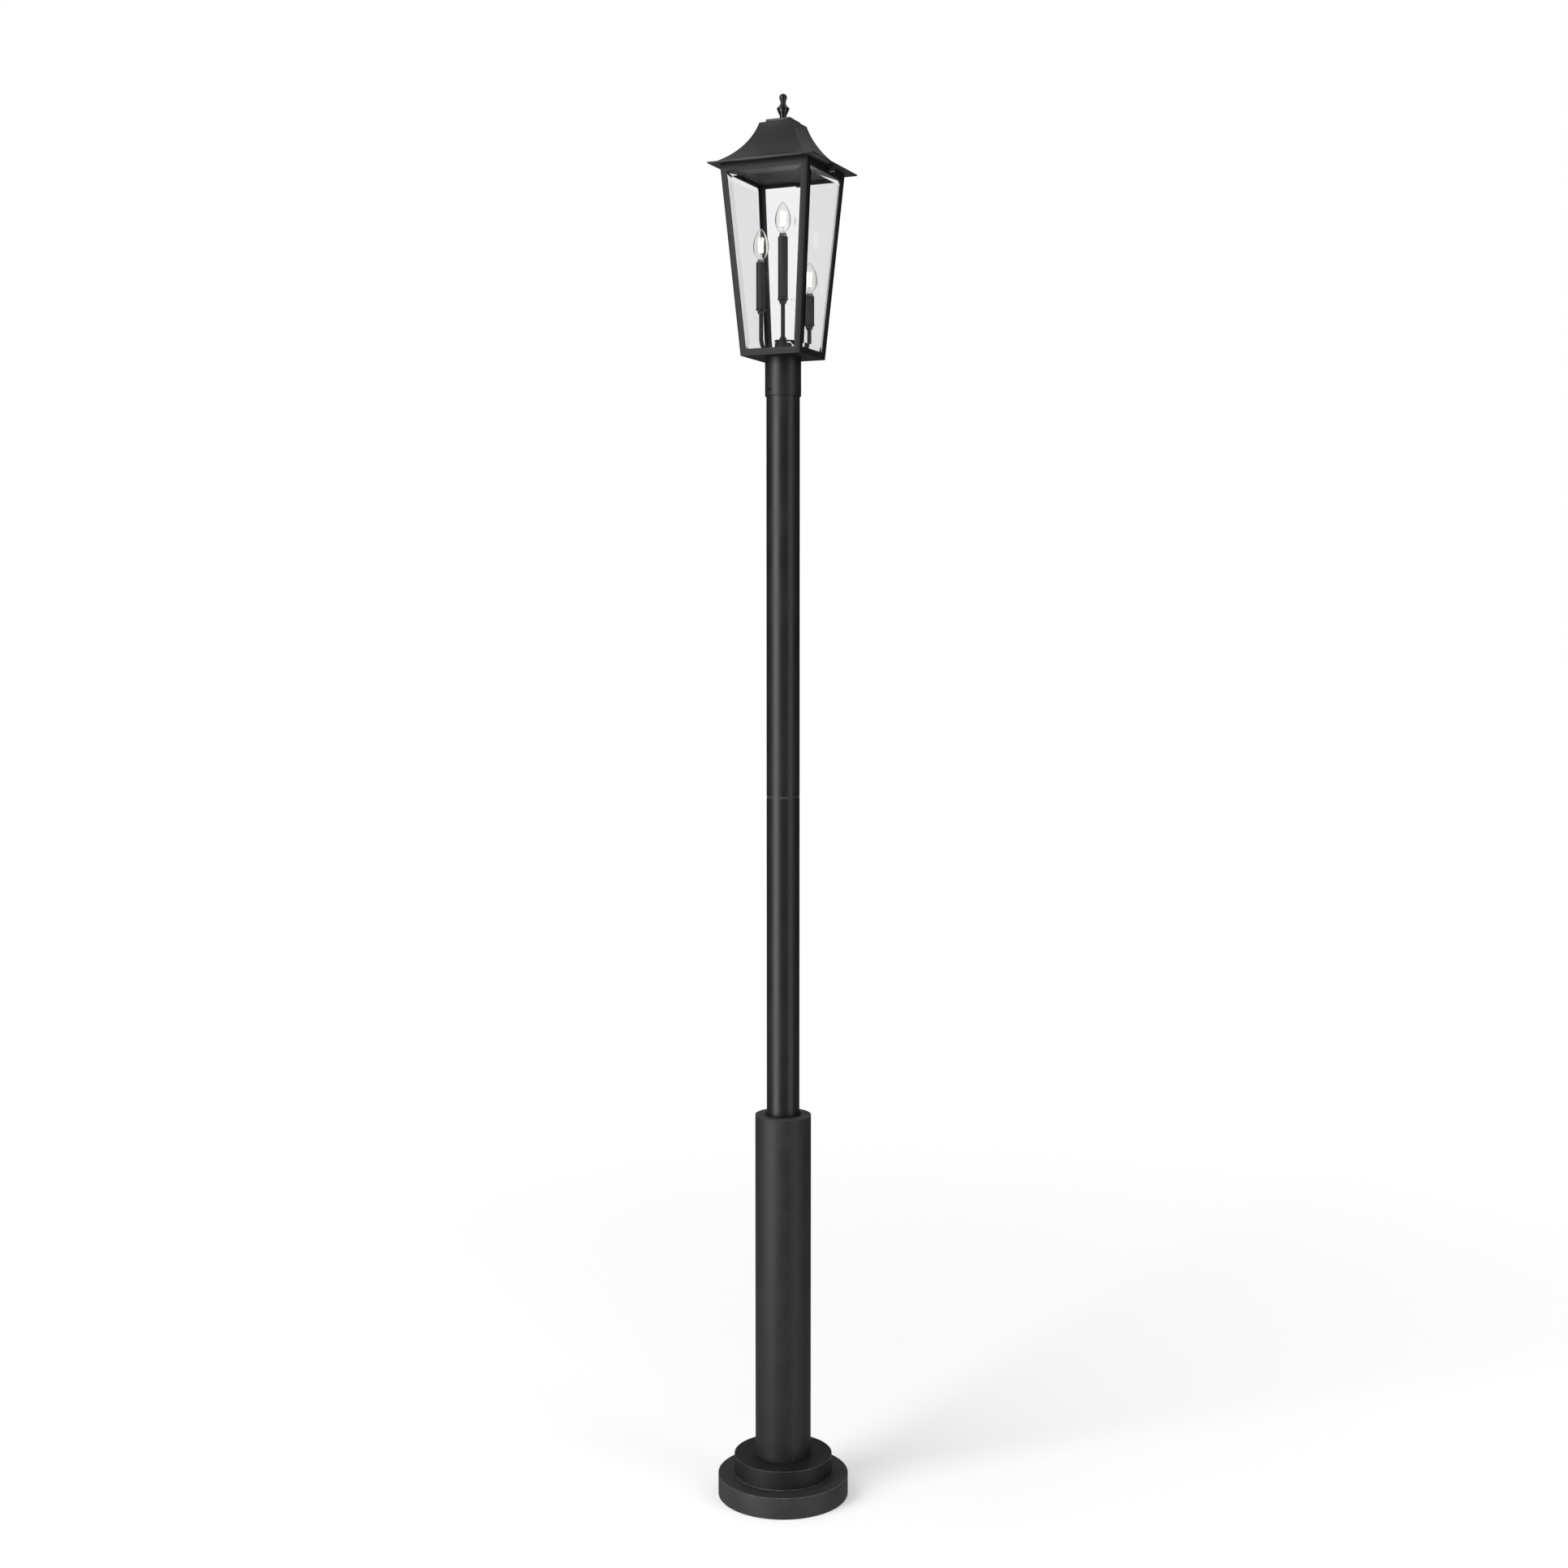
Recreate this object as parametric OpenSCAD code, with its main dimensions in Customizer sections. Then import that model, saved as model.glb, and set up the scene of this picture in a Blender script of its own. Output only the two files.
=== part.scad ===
// Post lantern: stepped round base, two-piece round pole and a tapered four-sided glass lantern.
// Origin at the centre of the base on the ground, +Z up, front face of the lantern towards -Y.

/* [Base] */
// Diameter of the lower base disc
base_low_d = 305; // [290:1:320]
// Height of the lower base disc
base_low_h = 50; // [45:1:60]
// Diameter of the upper base disc
base_up_d = 229; // [200:1:250]
// Height of the upper base disc
base_up_h = 46; // [36:1:60]
// Diameter of the circle of ground anchors
anchor_circle_d = 220; // [190:1:240]
// Diameter of each anchor hole
anchor_hole_d = 14; // [10:0.5:18]
// Diameter of the way in for the supply cable
cable_hole_d = 24; // [16:1:30]

/* [Pole] */
// Outside diameter of the pole
pole_d = 76.2; // [74:0.1:78]
// Wall thickness of the pole
pole_wall = 2.5; // [2:0.1:4]
// Outside diameter of the wide sleeve round the foot of the pole
sleeve_d = 130; // [120:1:140]
// Height of the top of the sleeve above the ground
sleeve_top = 905; // [600:1:1200]
// Height of the seam between the two pole lengths
seam_z = 1646; // [1300:1:2000]

/* [Lantern] */
// Height of the underside of the lantern above the ground
lantern_z = 2641; // [2400:1:2900]
// Width of the cage at its foot
cage_foot_w = 145; // [140:1:160]
// Width of the cage under the brim
cage_head_w = 212.5; // [205:0.5:220]
// Height of the cage
cage_h = 417.2; // [400:0.1:440]
// Height of the bottom rail
rail_low_h = 15; // [12:1:20]
// Height of the top rail
rail_top_h = 15.5; // [12:0.5:20]
// Width of each flange of a corner post
flange_w = 15; // [12:1:18]
// Thickness of the frame metal
metal_t = 2; // [1.5:0.1:2.5]
// Thickness of a glass pane
glass_t = 3; // [2.5:0.1:3.5]
// Length of the collar that slips over the pole
collar_l = 86; // [70:1:120]
// Outside diameter of the collar
collar_d = 82; // [81:0.5:86]

/* [Roof] */
// Width of the square brim
brim_w = 256; // [250:1:270]
// Thickness of the brim
brim_t = 3.5; // [2.5:0.5:5]
// Width of the foot of the curved roof
roof_foot_w = 226; // [220:1:230]
// Height of the curved roof above the brim
roof_h = 96; // [90:1:100]
// Radius of the hollow curve of the roof
roof_curve_r = 157; // [150:1:165]
// Width of the square cap on the roof
cap_w = 59; // [50:1:64]
// Height of the square cap
cap_h = 8; // [6:1:12]
// Height of the finial
finial_h = 59.5; // [55:0.5:65]

/* [Lamps] */
// Distance of the left lamp from the middle
lamp_reach_left = 52.5; // [48:0.5:58]
// Distance of the right lamp from the middle
lamp_reach_right = 62; // [56:0.5:64]
// Height of the centre lamp's cup above the lantern's underside
cup_z_centre = 119.5; // [90:0.5:130]
// Height of the left lamp's cup
cup_z_left = 94; // [70:0.5:110]
// Height of the right lamp's cup
cup_z_right = 65.5; // [60:0.5:90]
// Length of the centre lamp's candle tube
candle_l_centre = 136.5; // [100:0.5:140]
// Length of the left lamp's candle tube
candle_l_left = 101.5; // [70:0.5:110]
// Length of the right lamp's candle tube
candle_l_right = 62; // [50:0.5:80]
// Diameter of a candle tube
candle_d = 22.2; // [20:0.1:24]
// Diameter of a bulb
bulb_d = 35.5; // [30:0.5:36]
// Height of a bulb's glass
bulb_h = 69; // [60:1:72]
// Diameter of the arms and the centre stem
arm_d = 9.5; // [8:0.1:10]

/* [Hidden] */
$fn = 96;
eps = 0.1;              // a cutter passes a face by this much
slip = 0.3;             // gap between pieces that move on each other
chamfer = 1.5;
plate_t = 8;            // ground plate
cover_wall = 4;
pole_top = lantern_z - slip;
pole_id = pole_d - 2 * pole_wall;
sleeve_wall = 4;
spigot_d = sleeve_d - 2 * sleeve_wall - 0.6;
disc_top = base_low_h + base_up_h;
sleeve_cap_t = 6;
cap_skirt_h = 14;       // skirt of the cap inside the sleeve
gasket_h = 3.5;
gasket_w = 3.4;
coupler_l = 160;
coupler_wall = 3;
ring_h = 5;
sleeve_screw_z = disc_top + 7;
sleeve_screw_d = 6;
screw_out = 1.2;        // how far a set screw stands out of its wall
collar_id = pole_d + 0.8;
collar_screw_z = lantern_z - collar_l + 13;
collar_screw_d = 8;
collar_screw_angle = -24;
floor_t = 3;            // lantern floor plate
wire_hole_d = 14;
post_h0 = rail_low_h;
post_h1 = cage_h - rail_top_h;
pane_h0 = floor_t;
pane_h1 = cage_h - 5;
pane_edge = metal_t + glass_t + 1;
clip_w = 12;
clip_t = 1.5;
clip_h = 11;
clip_x = 38;            // far end of a clip from the middle of its side
ear_w = 20;
ear_t = 2;
ear_tip_d = 14;
nut_x = 119.5;          // distance of the thumb nut from the middle
stud_d = 5;
stud_l = 14;
nut_h = 12;
hinge_x = 111;          // distance of the hinge from the middle
hinge_l = 60;
hinge_d = 6;
hinge_pin_d = 2.4;
hinge_knuckles = 5;
hinge_arm_t = 2.4;
hinge_leaf_w = 11;
hinge_leaf_t = 1.5;
brim_z = cage_h + slip;
hinge_z = brim_z - hinge_d / 2;
brim_opening_w = 182;
roof_z = brim_z + brim_t;
roof_t = 1.6;
roof_lip_h = 3;         // upright lip at the foot of the roof
roof_foot_angle = 30;
cap_z = roof_z + roof_h;
baffle_w = 194;
baffle_drop = 8;
baffle_t = 1.5;
finial_z = cap_z + cap_h + slip;
finial_stud_d = 6;
finial_stud_in = 16;    // length of the stud inside the finial
finial_nut_d = 14;
finial_nut_t = 6;
cluster_d = 38.5;
cluster_h = 36.5;
cluster_nut_h = 7;
arm_h = floor_t + 11;   // height of the arms' level run
arm_bend_r = 26;
arm_id = 6.5;
cup_h = 13.5;
cup_ring_d = 24;
socket_d = 16.7;
socket_l = 32;
socket_floor = 4;
base_d = 11.9;          // screw cap of a bulb
base_l = 17;
glass_wall = 0.8;
show_centre = 8;        // how far a socket stands out of its candle tube
show_side = 6;
bulb_steps = 26;

black = [0.12, 0.12, 0.13];
dark = [0.08, 0.08, 0.08];
steel = [0.6, 0.6, 0.62];
clear = [0.85, 0.9, 0.92, 0.35];
warm = [1, 0.85, 0.55];

// ---------- shared shapes ----------

// Half the width of the cage at height h above its underside
function half(h) = (cage_foot_w + (cage_head_w - cage_foot_w) * h / cage_h) / 2;

// Straight tube standing on the plane z = 0
module tube(outer_d, inner_d, h) {
    difference() {
        cylinder(d = outer_d, h = h);
        translate([0, 0, -eps]) cylinder(d = inner_d, h = h + 2 * eps);
    }
}

// Disc cover: flat top with a bevelled rim, hollow below, with a round hole in the top
module disc_cover(d, h, hole_d) {
    difference() {
        union() {
            cylinder(d = d, h = h - chamfer);
            translate([0, 0, h - chamfer]) cylinder(d1 = d, d2 = d - 2 * chamfer, h = chamfer);
        }
        translate([0, 0, -eps]) cylinder(d = d - 2 * cover_wall, h = h - cover_wall + eps);
        translate([0, 0, -eps]) cylinder(d = hole_d, h = h + 2 * eps);
    }
}

// Block that leans with the sides of the cage. Each limit is [share of half(h), offset].
module tapered_block(x0, x1, y0, y1, h0, h1) {
    function at(limit, h) = limit[0] * half(h) + limit[1];
    corners = [[x0, y0], [x1, y0], [x1, y1], [x0, y1]];
    points = [for (h = [h0, h1]) for (c = corners) [at(c[0], h), at(c[1], h), h]];
    faces = [[0, 1, 2, 3], [4, 5, 1, 0], [5, 6, 2, 1], [6, 7, 3, 2], [7, 4, 0, 3], [7, 6, 5, 4]];
    polyhedron(points, faces);
}

// Four-sided block that fills the cage, inset from its faces
module cage_fill(inset, h0, h1) {
    tapered_block([-1, inset], [1, -inset], [-1, inset], [1, -inset], h0, h1);
}

// Four-walled ring of the cage between two heights
module cage_ring(h0, h1) {
    difference() {
        cage_fill(0, h0, h1);
        cage_fill(metal_t, h0 - eps, h1 + eps);
    }
}

// Screw lying along +X with its tip at radius r0 and a hex recess in its outer end
module radial_screw(r0, r1, d) {
    rotate([0, 90, 0]) translate([0, 0, r0]) difference() {
        cylinder(d = d, h = r1 - r0, $fn = 32);
        translate([0, 0, r1 - r0 - d / 3]) cylinder(d = d / 2, h = d, $fn = 6);
    }
}

// ---------- base and pole ----------

module mount_plate() {
    color(steel) difference() {
        cylinder(d = base_low_d - 2 * cover_wall - 2, h = plate_t);
        translate([0, 0, -eps]) cylinder(d = cable_hole_d + 8, h = plate_t + 2 * eps);
        for (a = [45:90:315]) rotate(a) translate([anchor_circle_d / 2, 0, -eps])
            cylinder(d = anchor_hole_d, h = plate_t + 2 * eps);
    }
}

module cable_bushing() {
    color(dark) difference() {
        union() {
            cylinder(d = cable_hole_d + 8, h = plate_t);
            translate([0, 0, plate_t]) cylinder(d = cable_hole_d + 16, h = 3);
        }
        translate([0, 0, -eps]) cylinder(d = cable_hole_d, h = plate_t + 3 + 2 * eps);
    }
}

module base_lower_disc() {
    color(black) disc_cover(base_low_d, base_low_h, spigot_d + 1);
}

module base_upper_disc() {
    color(black) translate([0, 0, base_low_h]) disc_cover(base_up_d, base_up_h, spigot_d + 1);
}

module base_spigot() {
    color(black) translate([0, 0, plate_t])
        tube(spigot_d, spigot_d - 2 * sleeve_wall, disc_top + 50 - plate_t);
}

module sleeve() {
    color(black) translate([0, 0, disc_top]) difference() {
        tube(sleeve_d, sleeve_d - 2 * sleeve_wall, sleeve_top - sleeve_cap_t - disc_top);
        for (a = [45:90:315]) rotate(a) translate([0, 0, sleeve_screw_z - disc_top])
            rotate([0, 90, 0]) cylinder(d = sleeve_screw_d + 0.4, h = sleeve_d, $fn = 32);
    }
}

module sleeve_cap() {
    inner_d = pole_d + 0.8;
    color(black) translate([0, 0, sleeve_top - sleeve_cap_t]) difference() {
        union() {
            cylinder(d = sleeve_d, h = sleeve_cap_t - 1);
            translate([0, 0, sleeve_cap_t - 1]) cylinder(d1 = sleeve_d, d2 = sleeve_d - 2, h = 1);
            translate([0, 0, -cap_skirt_h]) cylinder(d = sleeve_d - 2 * sleeve_wall, h = cap_skirt_h);
        }
        translate([0, 0, -cap_skirt_h - eps])
            cylinder(d = sleeve_d - 4 * sleeve_wall, h = cap_skirt_h + eps);
        translate([0, 0, -eps]) cylinder(d = inner_d, h = sleeve_cap_t + 2 * eps);
    }
}

module cap_gasket() {
    color(dark) translate([0, 0, sleeve_top]) rotate_extrude() {
        translate([pole_d / 2, 0]) square([gasket_w, gasket_h - 1]);
        translate([pole_d / 2, gasket_h - 1]) polygon([[0, 0], [gasket_w, 0], [gasket_w - 1, 1], [0, 1]]);
    }
}

module sleeve_screws() {
    color(steel) for (a = [45:90:315]) rotate(a) translate([0, 0, sleeve_screw_z])
        radial_screw(spigot_d / 2, sleeve_d / 2 + screw_out, sleeve_screw_d);
}

module lower_pole() {
    color(black) translate([0, 0, plate_t]) tube(pole_d, pole_id, seam_z - ring_h / 2 - plate_t);
}

module pole_coupler() {
    color(steel) translate([0, 0, seam_z - coupler_l / 2])
        tube(pole_id, pole_id - 2 * coupler_wall, coupler_l);
}

module seam_ring() {
    groove = 0.9;
    color(dark) translate([0, 0, seam_z - ring_h / 2]) rotate_extrude() polygon([
        [pole_id / 2, 0], [pole_d / 2 - groove, 0], [pole_d / 2 - groove, 1], [pole_d / 2, 1.6],
        [pole_d / 2, ring_h - 1.6], [pole_d / 2 - groove, ring_h - 1],
        [pole_d / 2 - groove, ring_h], [pole_id / 2, ring_h],
    ]);
}

module upper_pole() {
    z0 = seam_z + ring_h / 2;
    color(black) translate([0, 0, z0]) tube(pole_d, pole_id, pole_top - z0);
}

// ---------- lantern cage ----------

module fitter_collar() {
    color(black) translate([0, 0, lantern_z - collar_l]) difference() {
        union() {
            translate([0, 0, 1]) cylinder(d = collar_d, h = collar_l - 1);
            cylinder(d1 = collar_d - 2, d2 = collar_d, h = 1);
        }
        translate([0, 0, -eps]) cylinder(d = collar_id, h = collar_l + 2 * eps);
        for (i = [0:2]) rotate(-90 + collar_screw_angle + 120 * i)
            translate([0, 0, collar_screw_z - lantern_z + collar_l])
                rotate([0, 90, 0]) cylinder(d = collar_screw_d, h = collar_d, $fn = 32);
    }
}

module collar_screws() {
    color(steel) for (i = [0:2]) rotate(-90 + collar_screw_angle + 120 * i)
        translate([0, 0, collar_screw_z])
            radial_screw(pole_d / 2 + slip / 2, collar_d / 2 + screw_out, collar_screw_d);
}

module bottom_plate() {
    color(black) translate([0, 0, lantern_z]) difference() {
        cage_fill(metal_t, 0, floor_t);
        translate([0, 0, -eps]) cylinder(d = wire_hole_d, h = floor_t + 2 * eps);
    }
}

module bottom_frame() {
    color(black) translate([0, 0, lantern_z]) cage_ring(0, rail_low_h);
}

// Corner post with an L section; corner 0 is front right, then counterclockwise
module corner_post(corner) {
    w = flange_w;
    t = metal_t;
    color(black) translate([0, 0, lantern_z]) rotate(90 * corner) difference() {
        tapered_block([1, -w], [1, 0], [-1, 0], [-1, w], post_h0, post_h1);
        tapered_block([1, -w - 1], [1, -t], [-1, t], [-1, w + 1], post_h0 - 1, post_h1 + 1);
    }
}

module top_frame() {
    color(black) translate([0, 0, lantern_z]) {
        cage_ring(post_h1, cage_h);
        translate([0, 0, cage_h - ear_t]) difference() {
            union() {
                translate([half(cage_h) - metal_t / 2, -ear_w / 2, 0])
                    cube([nut_x - half(cage_h) + metal_t / 2, ear_w, ear_t]);
                translate([nut_x, 0, 0]) cylinder(d = ear_tip_d, h = ear_t);
            }
            translate([nut_x, 0, -eps]) cylinder(d = stud_d + 1.4, h = ear_t + 2 * eps);
        }
    }
}

// Sloping pane behind the flanges; side 0 is the front, then counterclockwise
module glass_pane(side) {
    e = pane_edge;
    t = metal_t;
    color(clear) translate([0, 0, lantern_z]) rotate(90 * side)
        tapered_block([-1, e], [1, -e], [-1, t], [-1, t + glass_t], pane_h0, pane_h1);
}

module glass_clips() {
    y = metal_t + glass_t;
    color(steel) translate([0, 0, lantern_z])
        for (side = [0:3]) for (x = [-clip_x, clip_x - clip_w]) rotate(90 * side)
            tapered_block([0, x], [0, x + clip_w], [-1, y], [-1, y + clip_t],
                floor_t, floor_t + clip_h);
}

// ---------- lamp cluster ----------

// Distance of a side lamp from the middle; side is -1 on the left and 1 on the right
function lamp_reach(side) = side < 0 ? lamp_reach_left : lamp_reach_right;

// Move to a lamp: the left one stands towards the front left corner, the right one opposite
module at_lamp(side) {
    reach = side * lamp_reach(side) / sqrt(2);
    translate([reach, reach, lantern_z]) children();
}

module cluster_body() {
    color(black) translate([0, 0, lantern_z]) difference() {
        union() {
            translate([0, 0, floor_t]) cylinder(d = cluster_d, h = cluster_h - 1);
            translate([0, 0, floor_t + cluster_h - 1])
                cylinder(d1 = cluster_d, d2 = cluster_d - 2, h = 1);
        }
        translate([0, 0, floor_t - eps]) cylinder(d = wire_hole_d, h = cluster_h - 6);
        for (a = [45, 225]) rotate(a) translate([0, 0, arm_h])
            rotate([0, 90, 0]) cylinder(d = arm_d, h = cluster_d);
    }
}

module cluster_nut() {
    color(black) translate([0, 0, lantern_z + floor_t + cluster_h]) difference() {
        cylinder(d = 16.5, h = cluster_nut_h, $fn = 6);
        translate([0, 0, -eps]) cylinder(d = arm_d, h = cluster_nut_h + 2 * eps);
    }
}

module stem_centre() {
    z0 = floor_t + cluster_h;
    color(black) translate([0, 0, lantern_z + z0]) tube(arm_d, arm_id, cup_z_centre - z0);
}

// Side arm: level run out of the cluster, a bend and an upright up to the cup
module side_arm(side, cup_z) {
    start = cluster_d / 2 - 8;
    bend_x = lamp_reach(side) - arm_bend_r;
    bend_h = arm_h + arm_bend_r;
    // Rod along the arm's centre line, longer by over at both ends
    module sweep(d, over) {
        translate([start - over, 0, arm_h]) rotate([0, 90, 0])
            cylinder(d = d, h = bend_x - start + over);
        translate([bend_x, 0, bend_h]) rotate([90, 0, 0]) rotate(-90)
            rotate_extrude(angle = 90) translate([arm_bend_r, 0]) circle(d = d);
        translate([lamp_reach(side), 0, bend_h]) cylinder(d = d, h = cup_z - bend_h + over);
    }
    color(black) translate([0, 0, lantern_z]) rotate(side > 0 ? 45 : 225) difference() {
        sweep(arm_d, 0);
        sweep(arm_id, eps);
    }
}

// Cup with its ring and the riser that carries the socket
module lamp_cup(cup_z, riser_top) {
    r = arm_d / 2;
    ring = cup_ring_d / 2;
    color(black) translate([0, 0, cup_z]) rotate_extrude() polygon([
        [arm_id / 2, 0], [r + 0.6, 0], [r + 2.2, 1.6], [r + 3.4, 4], [r + 4, 7],
        [r + 3.6, 8.4], [ring - 1, 9.2], [ring, 10.2], [ring, cup_h - 1], [ring - 1, cup_h],
        [r, cup_h], [r, riser_top - cup_z], [arm_id / 2, riser_top - cup_z],
    ]);
}

module candle(z, length) {
    color(black) translate([0, 0, z]) tube(candle_d, candle_d - 3.6, length);
}

module lamp_socket(z) {
    color(dark) translate([0, 0, z]) difference() {
        cylinder(d = socket_d, h = socket_l);
        translate([0, 0, socket_floor]) cylinder(d = base_d + 0.6, h = socket_l);
    }
}

// Radius of the torpedo bulb at a share t of its height, less an inset
function bulb_r(t, inset) =
    max((bulb_d / 2 - inset) * pow(sin(180 * pow(t, 0.8)), 0.66), t < 0.5 ? base_d / 2 - inset : 0);

module bulb_glass(z) {
    outer = [for (i = [0:bulb_steps]) [bulb_r(i / bulb_steps, 0), bulb_h * i / bulb_steps]];
    inner = [for (i = [bulb_steps:-1:0])
        [bulb_r(i / bulb_steps, glass_wall), (bulb_h - glass_wall) * i / bulb_steps]];
    color(clear) translate([0, 0, z]) rotate_extrude() polygon(concat(outer, inner));
}

module bulb_base(z) {
    color(steel) translate([0, 0, z - base_l]) {
        translate([0, 0, 2.5]) cylinder(d = base_d, h = base_l - 2.5);
        cylinder(d1 = 5, d2 = base_d - 2, h = 2.5);
    }
}

// Six upright filament sticks between two thin discs on a glass stem
module filament(z) {
    stick_z = 16;
    stick_l = 32;
    disc_t = 1;
    color(warm) translate([0, 0, z]) {
        cylinder(d1 = 8, d2 = 3, h = stick_z, $fn = 32);
        for (end_z = [stick_z - disc_t, stick_z + stick_l])
            translate([0, 0, end_z]) cylinder(d = 11, h = disc_t, $fn = 32);
        for (a = [0:60:300]) rotate(a) translate([4.2, 0, stick_z])
            cylinder(d = 1.8, h = stick_l, $fn = 16);
    }
}

// ---------- roof ----------

module roof_brim() {
    color(black) translate([0, 0, lantern_z + brim_z]) difference() {
        translate([-brim_w / 2, -brim_w / 2, 0]) cube([brim_w, brim_w, brim_t]);
        translate([-brim_opening_w / 2, -brim_opening_w / 2, -eps])
            cube([brim_opening_w, brim_opening_w, brim_t + 2 * eps]);
    }
}

// Outline of the roof seen from the front: hollow curves from the lip up to the flat top
module roof_outline(inset) {
    curve_x = roof_foot_w / 2 + roof_curve_r * sin(roof_foot_angle);
    curve_z = roof_lip_h + roof_curve_r * cos(roof_foot_angle);
    difference() {
        translate([-roof_foot_w / 2 + inset, inset > 0 ? -eps : 0])
            square([roof_foot_w - 2 * inset, roof_h - inset + (inset > 0 ? eps : 0)]);
        for (side = [-1, 1]) translate([side * curve_x, curve_z]) circle(r = roof_curve_r + inset);
    }
}

// The four-sided roof is where two such outlines, drawn out along X and along Y, meet
module roof_body(inset) {
    intersection() {
        translate([0, roof_foot_w / 2, 0]) rotate([90, 0, 0])
            linear_extrude(roof_foot_w) roof_outline(inset);
        rotate(90) translate([0, roof_foot_w / 2, 0]) rotate([90, 0, 0])
            linear_extrude(roof_foot_w) roof_outline(inset);
    }
}

module roof_shell() {
    color(black) translate([0, 0, lantern_z + roof_z]) difference() {
        roof_body(0);
        roof_body(roof_t);
        translate([0, 0, roof_h - 10]) cylinder(d = finial_stud_d, h = 20);
    }
}

module roof_cap() {
    t = metal_t;
    color(black) translate([-cap_w / 2, -cap_w / 2, lantern_z + cap_z]) difference() {
        cube([cap_w, cap_w, cap_h]);
        translate([t, t, -eps]) cube([cap_w - 2 * t, cap_w - 2 * t, cap_h - t + eps]);
        translate([cap_w / 2, cap_w / 2, 0]) cylinder(d = finial_stud_d, h = cap_h + eps);
    }
}

// Shallow tray hung under the brim, closing the lantern's ceiling
module heat_baffle() {
    w = baffle_w;
    t = baffle_t;
    color(dark) translate([0, 0, lantern_z + brim_z - baffle_drop]) difference() {
        translate([-w / 2, -w / 2, 0]) cube([w, w, baffle_drop]);
        translate([-w / 2 + t, -w / 2 + t, t]) cube([w - 2 * t, w - 2 * t, baffle_drop]);
    }
}

module roof_stud() {
    color(steel) translate([nut_x, 0, lantern_z + brim_z - stud_l]) cylinder(d = stud_d, h = stud_l);
}

// Every second knuckle of the hinge, from the first one given
module knuckles(first, d) {
    for (i = [first:2:hinge_knuckles - 1])
        translate([0, -hinge_l / 2 + hinge_l / hinge_knuckles * i + slip / 2, 0])
            rotate([-90, 0, 0]) cylinder(d = d, h = hinge_l / hinge_knuckles - slip);
}

// Half of the hinge on the cage: knuckles on short arms, and the pin
module hinge_fixed() {
    pitch = hinge_l / hinge_knuckles;
    reach = hinge_x - half(hinge_z + hinge_arm_t / 2);
    color(black) translate([-hinge_x, 0, lantern_z + hinge_z]) {
        knuckles(0, hinge_d - 2 * slip);
        for (i = [0:2:hinge_knuckles - 1])
            translate([0, -hinge_l / 2 + pitch * i + slip / 2, -hinge_arm_t / 2])
                cube([reach, pitch - slip, hinge_arm_t]);
        translate([0, -hinge_l / 2 + slip, 0]) rotate([-90, 0, 0])
            cylinder(d = hinge_pin_d, h = hinge_l - 2 * slip);
    }
}

// Half of the hinge under the brim: a leaf, and knuckles on webs
module hinge_leaf() {
    pitch = hinge_l / hinge_knuckles;
    leaf_x = hinge_d / 2 + 0.2;
    color(black) translate([-hinge_x, 0, lantern_z + hinge_z]) difference() {
        union() {
            knuckles(1, hinge_d);
            for (i = [1:2:hinge_knuckles - 1])
                translate([-hinge_d / 2, -hinge_l / 2 + pitch * i + slip / 2, 0])
                    cube([hinge_d - 1, pitch - slip, hinge_d / 2]);
            translate([-leaf_x - hinge_leaf_w, -hinge_l / 2, hinge_d / 2 - hinge_leaf_t])
                cube([hinge_leaf_w, hinge_l, hinge_leaf_t]);
            for (i = [1:2:hinge_knuckles - 1])
                translate([-leaf_x - 1, -hinge_l / 2 + pitch * i + slip / 2, hinge_d / 2 - hinge_leaf_t])
                    cube([2, pitch - slip, hinge_leaf_t]);
        }
        translate([0, -hinge_l / 2, 0]) rotate([-90, 0, 0])
            cylinder(d = hinge_pin_d + 2 * slip, h = hinge_l);
    }
}

module finial_stud() {
    color(steel) translate([0, 0, lantern_z + cap_z - roof_t - finial_nut_t]) {
        cylinder(d = finial_nut_d, h = finial_nut_t, $fn = 6);
        cylinder(d = finial_stud_d, h = finial_nut_t + roof_t + cap_h + finial_stud_in);
    }
}

// Turned finial: foot, cup, flange, hollow shoulder, bead and ball
module finial() {
    cup_h0 = 9;
    cup_h1 = 24.5;
    flange_h = 26.5;
    neck_r = 6;
    ball_r = 8.8;
    bore_r = finial_stud_d / 2 + 0.2;
    cup = [for (i = [0:10])
        [7.8 + 2.65 * (1 - cos(18 * i)), cup_h0 + (cup_h1 - cup_h0) * i / 10]];
    shoulder = [for (i = [0:8]) [neck_r + 7.6 * pow(1 - i / 8, 1.7), flange_h + 1.2 + 11 * i / 8]];
    ball_z = finial_h - ball_r;
    ball = [for (a = [-47:11:85]) [ball_r * cos(a), ball_z + ball_r * sin(a)]];
    outline = concat(
        [[0, 0], [8, 0], [8.8, 1], [8.8, 2.6], [7.8, 3.6]], cup,
        [[14.5, flange_h - 1.4], [14.5, flange_h + 0.4]], shoulder,
        [[6.6, 41.2], [6.9, 42.4], [6.6, 43.6], [neck_r, 44]], ball, [[0, finial_h]]
    );
    color(black) translate([0, 0, lantern_z + finial_z]) difference() {
        rotate_extrude() polygon(outline);
        translate([0, 0, -eps]) cylinder(r = bore_r, h = finial_stud_in + 2);
    }
}

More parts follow.
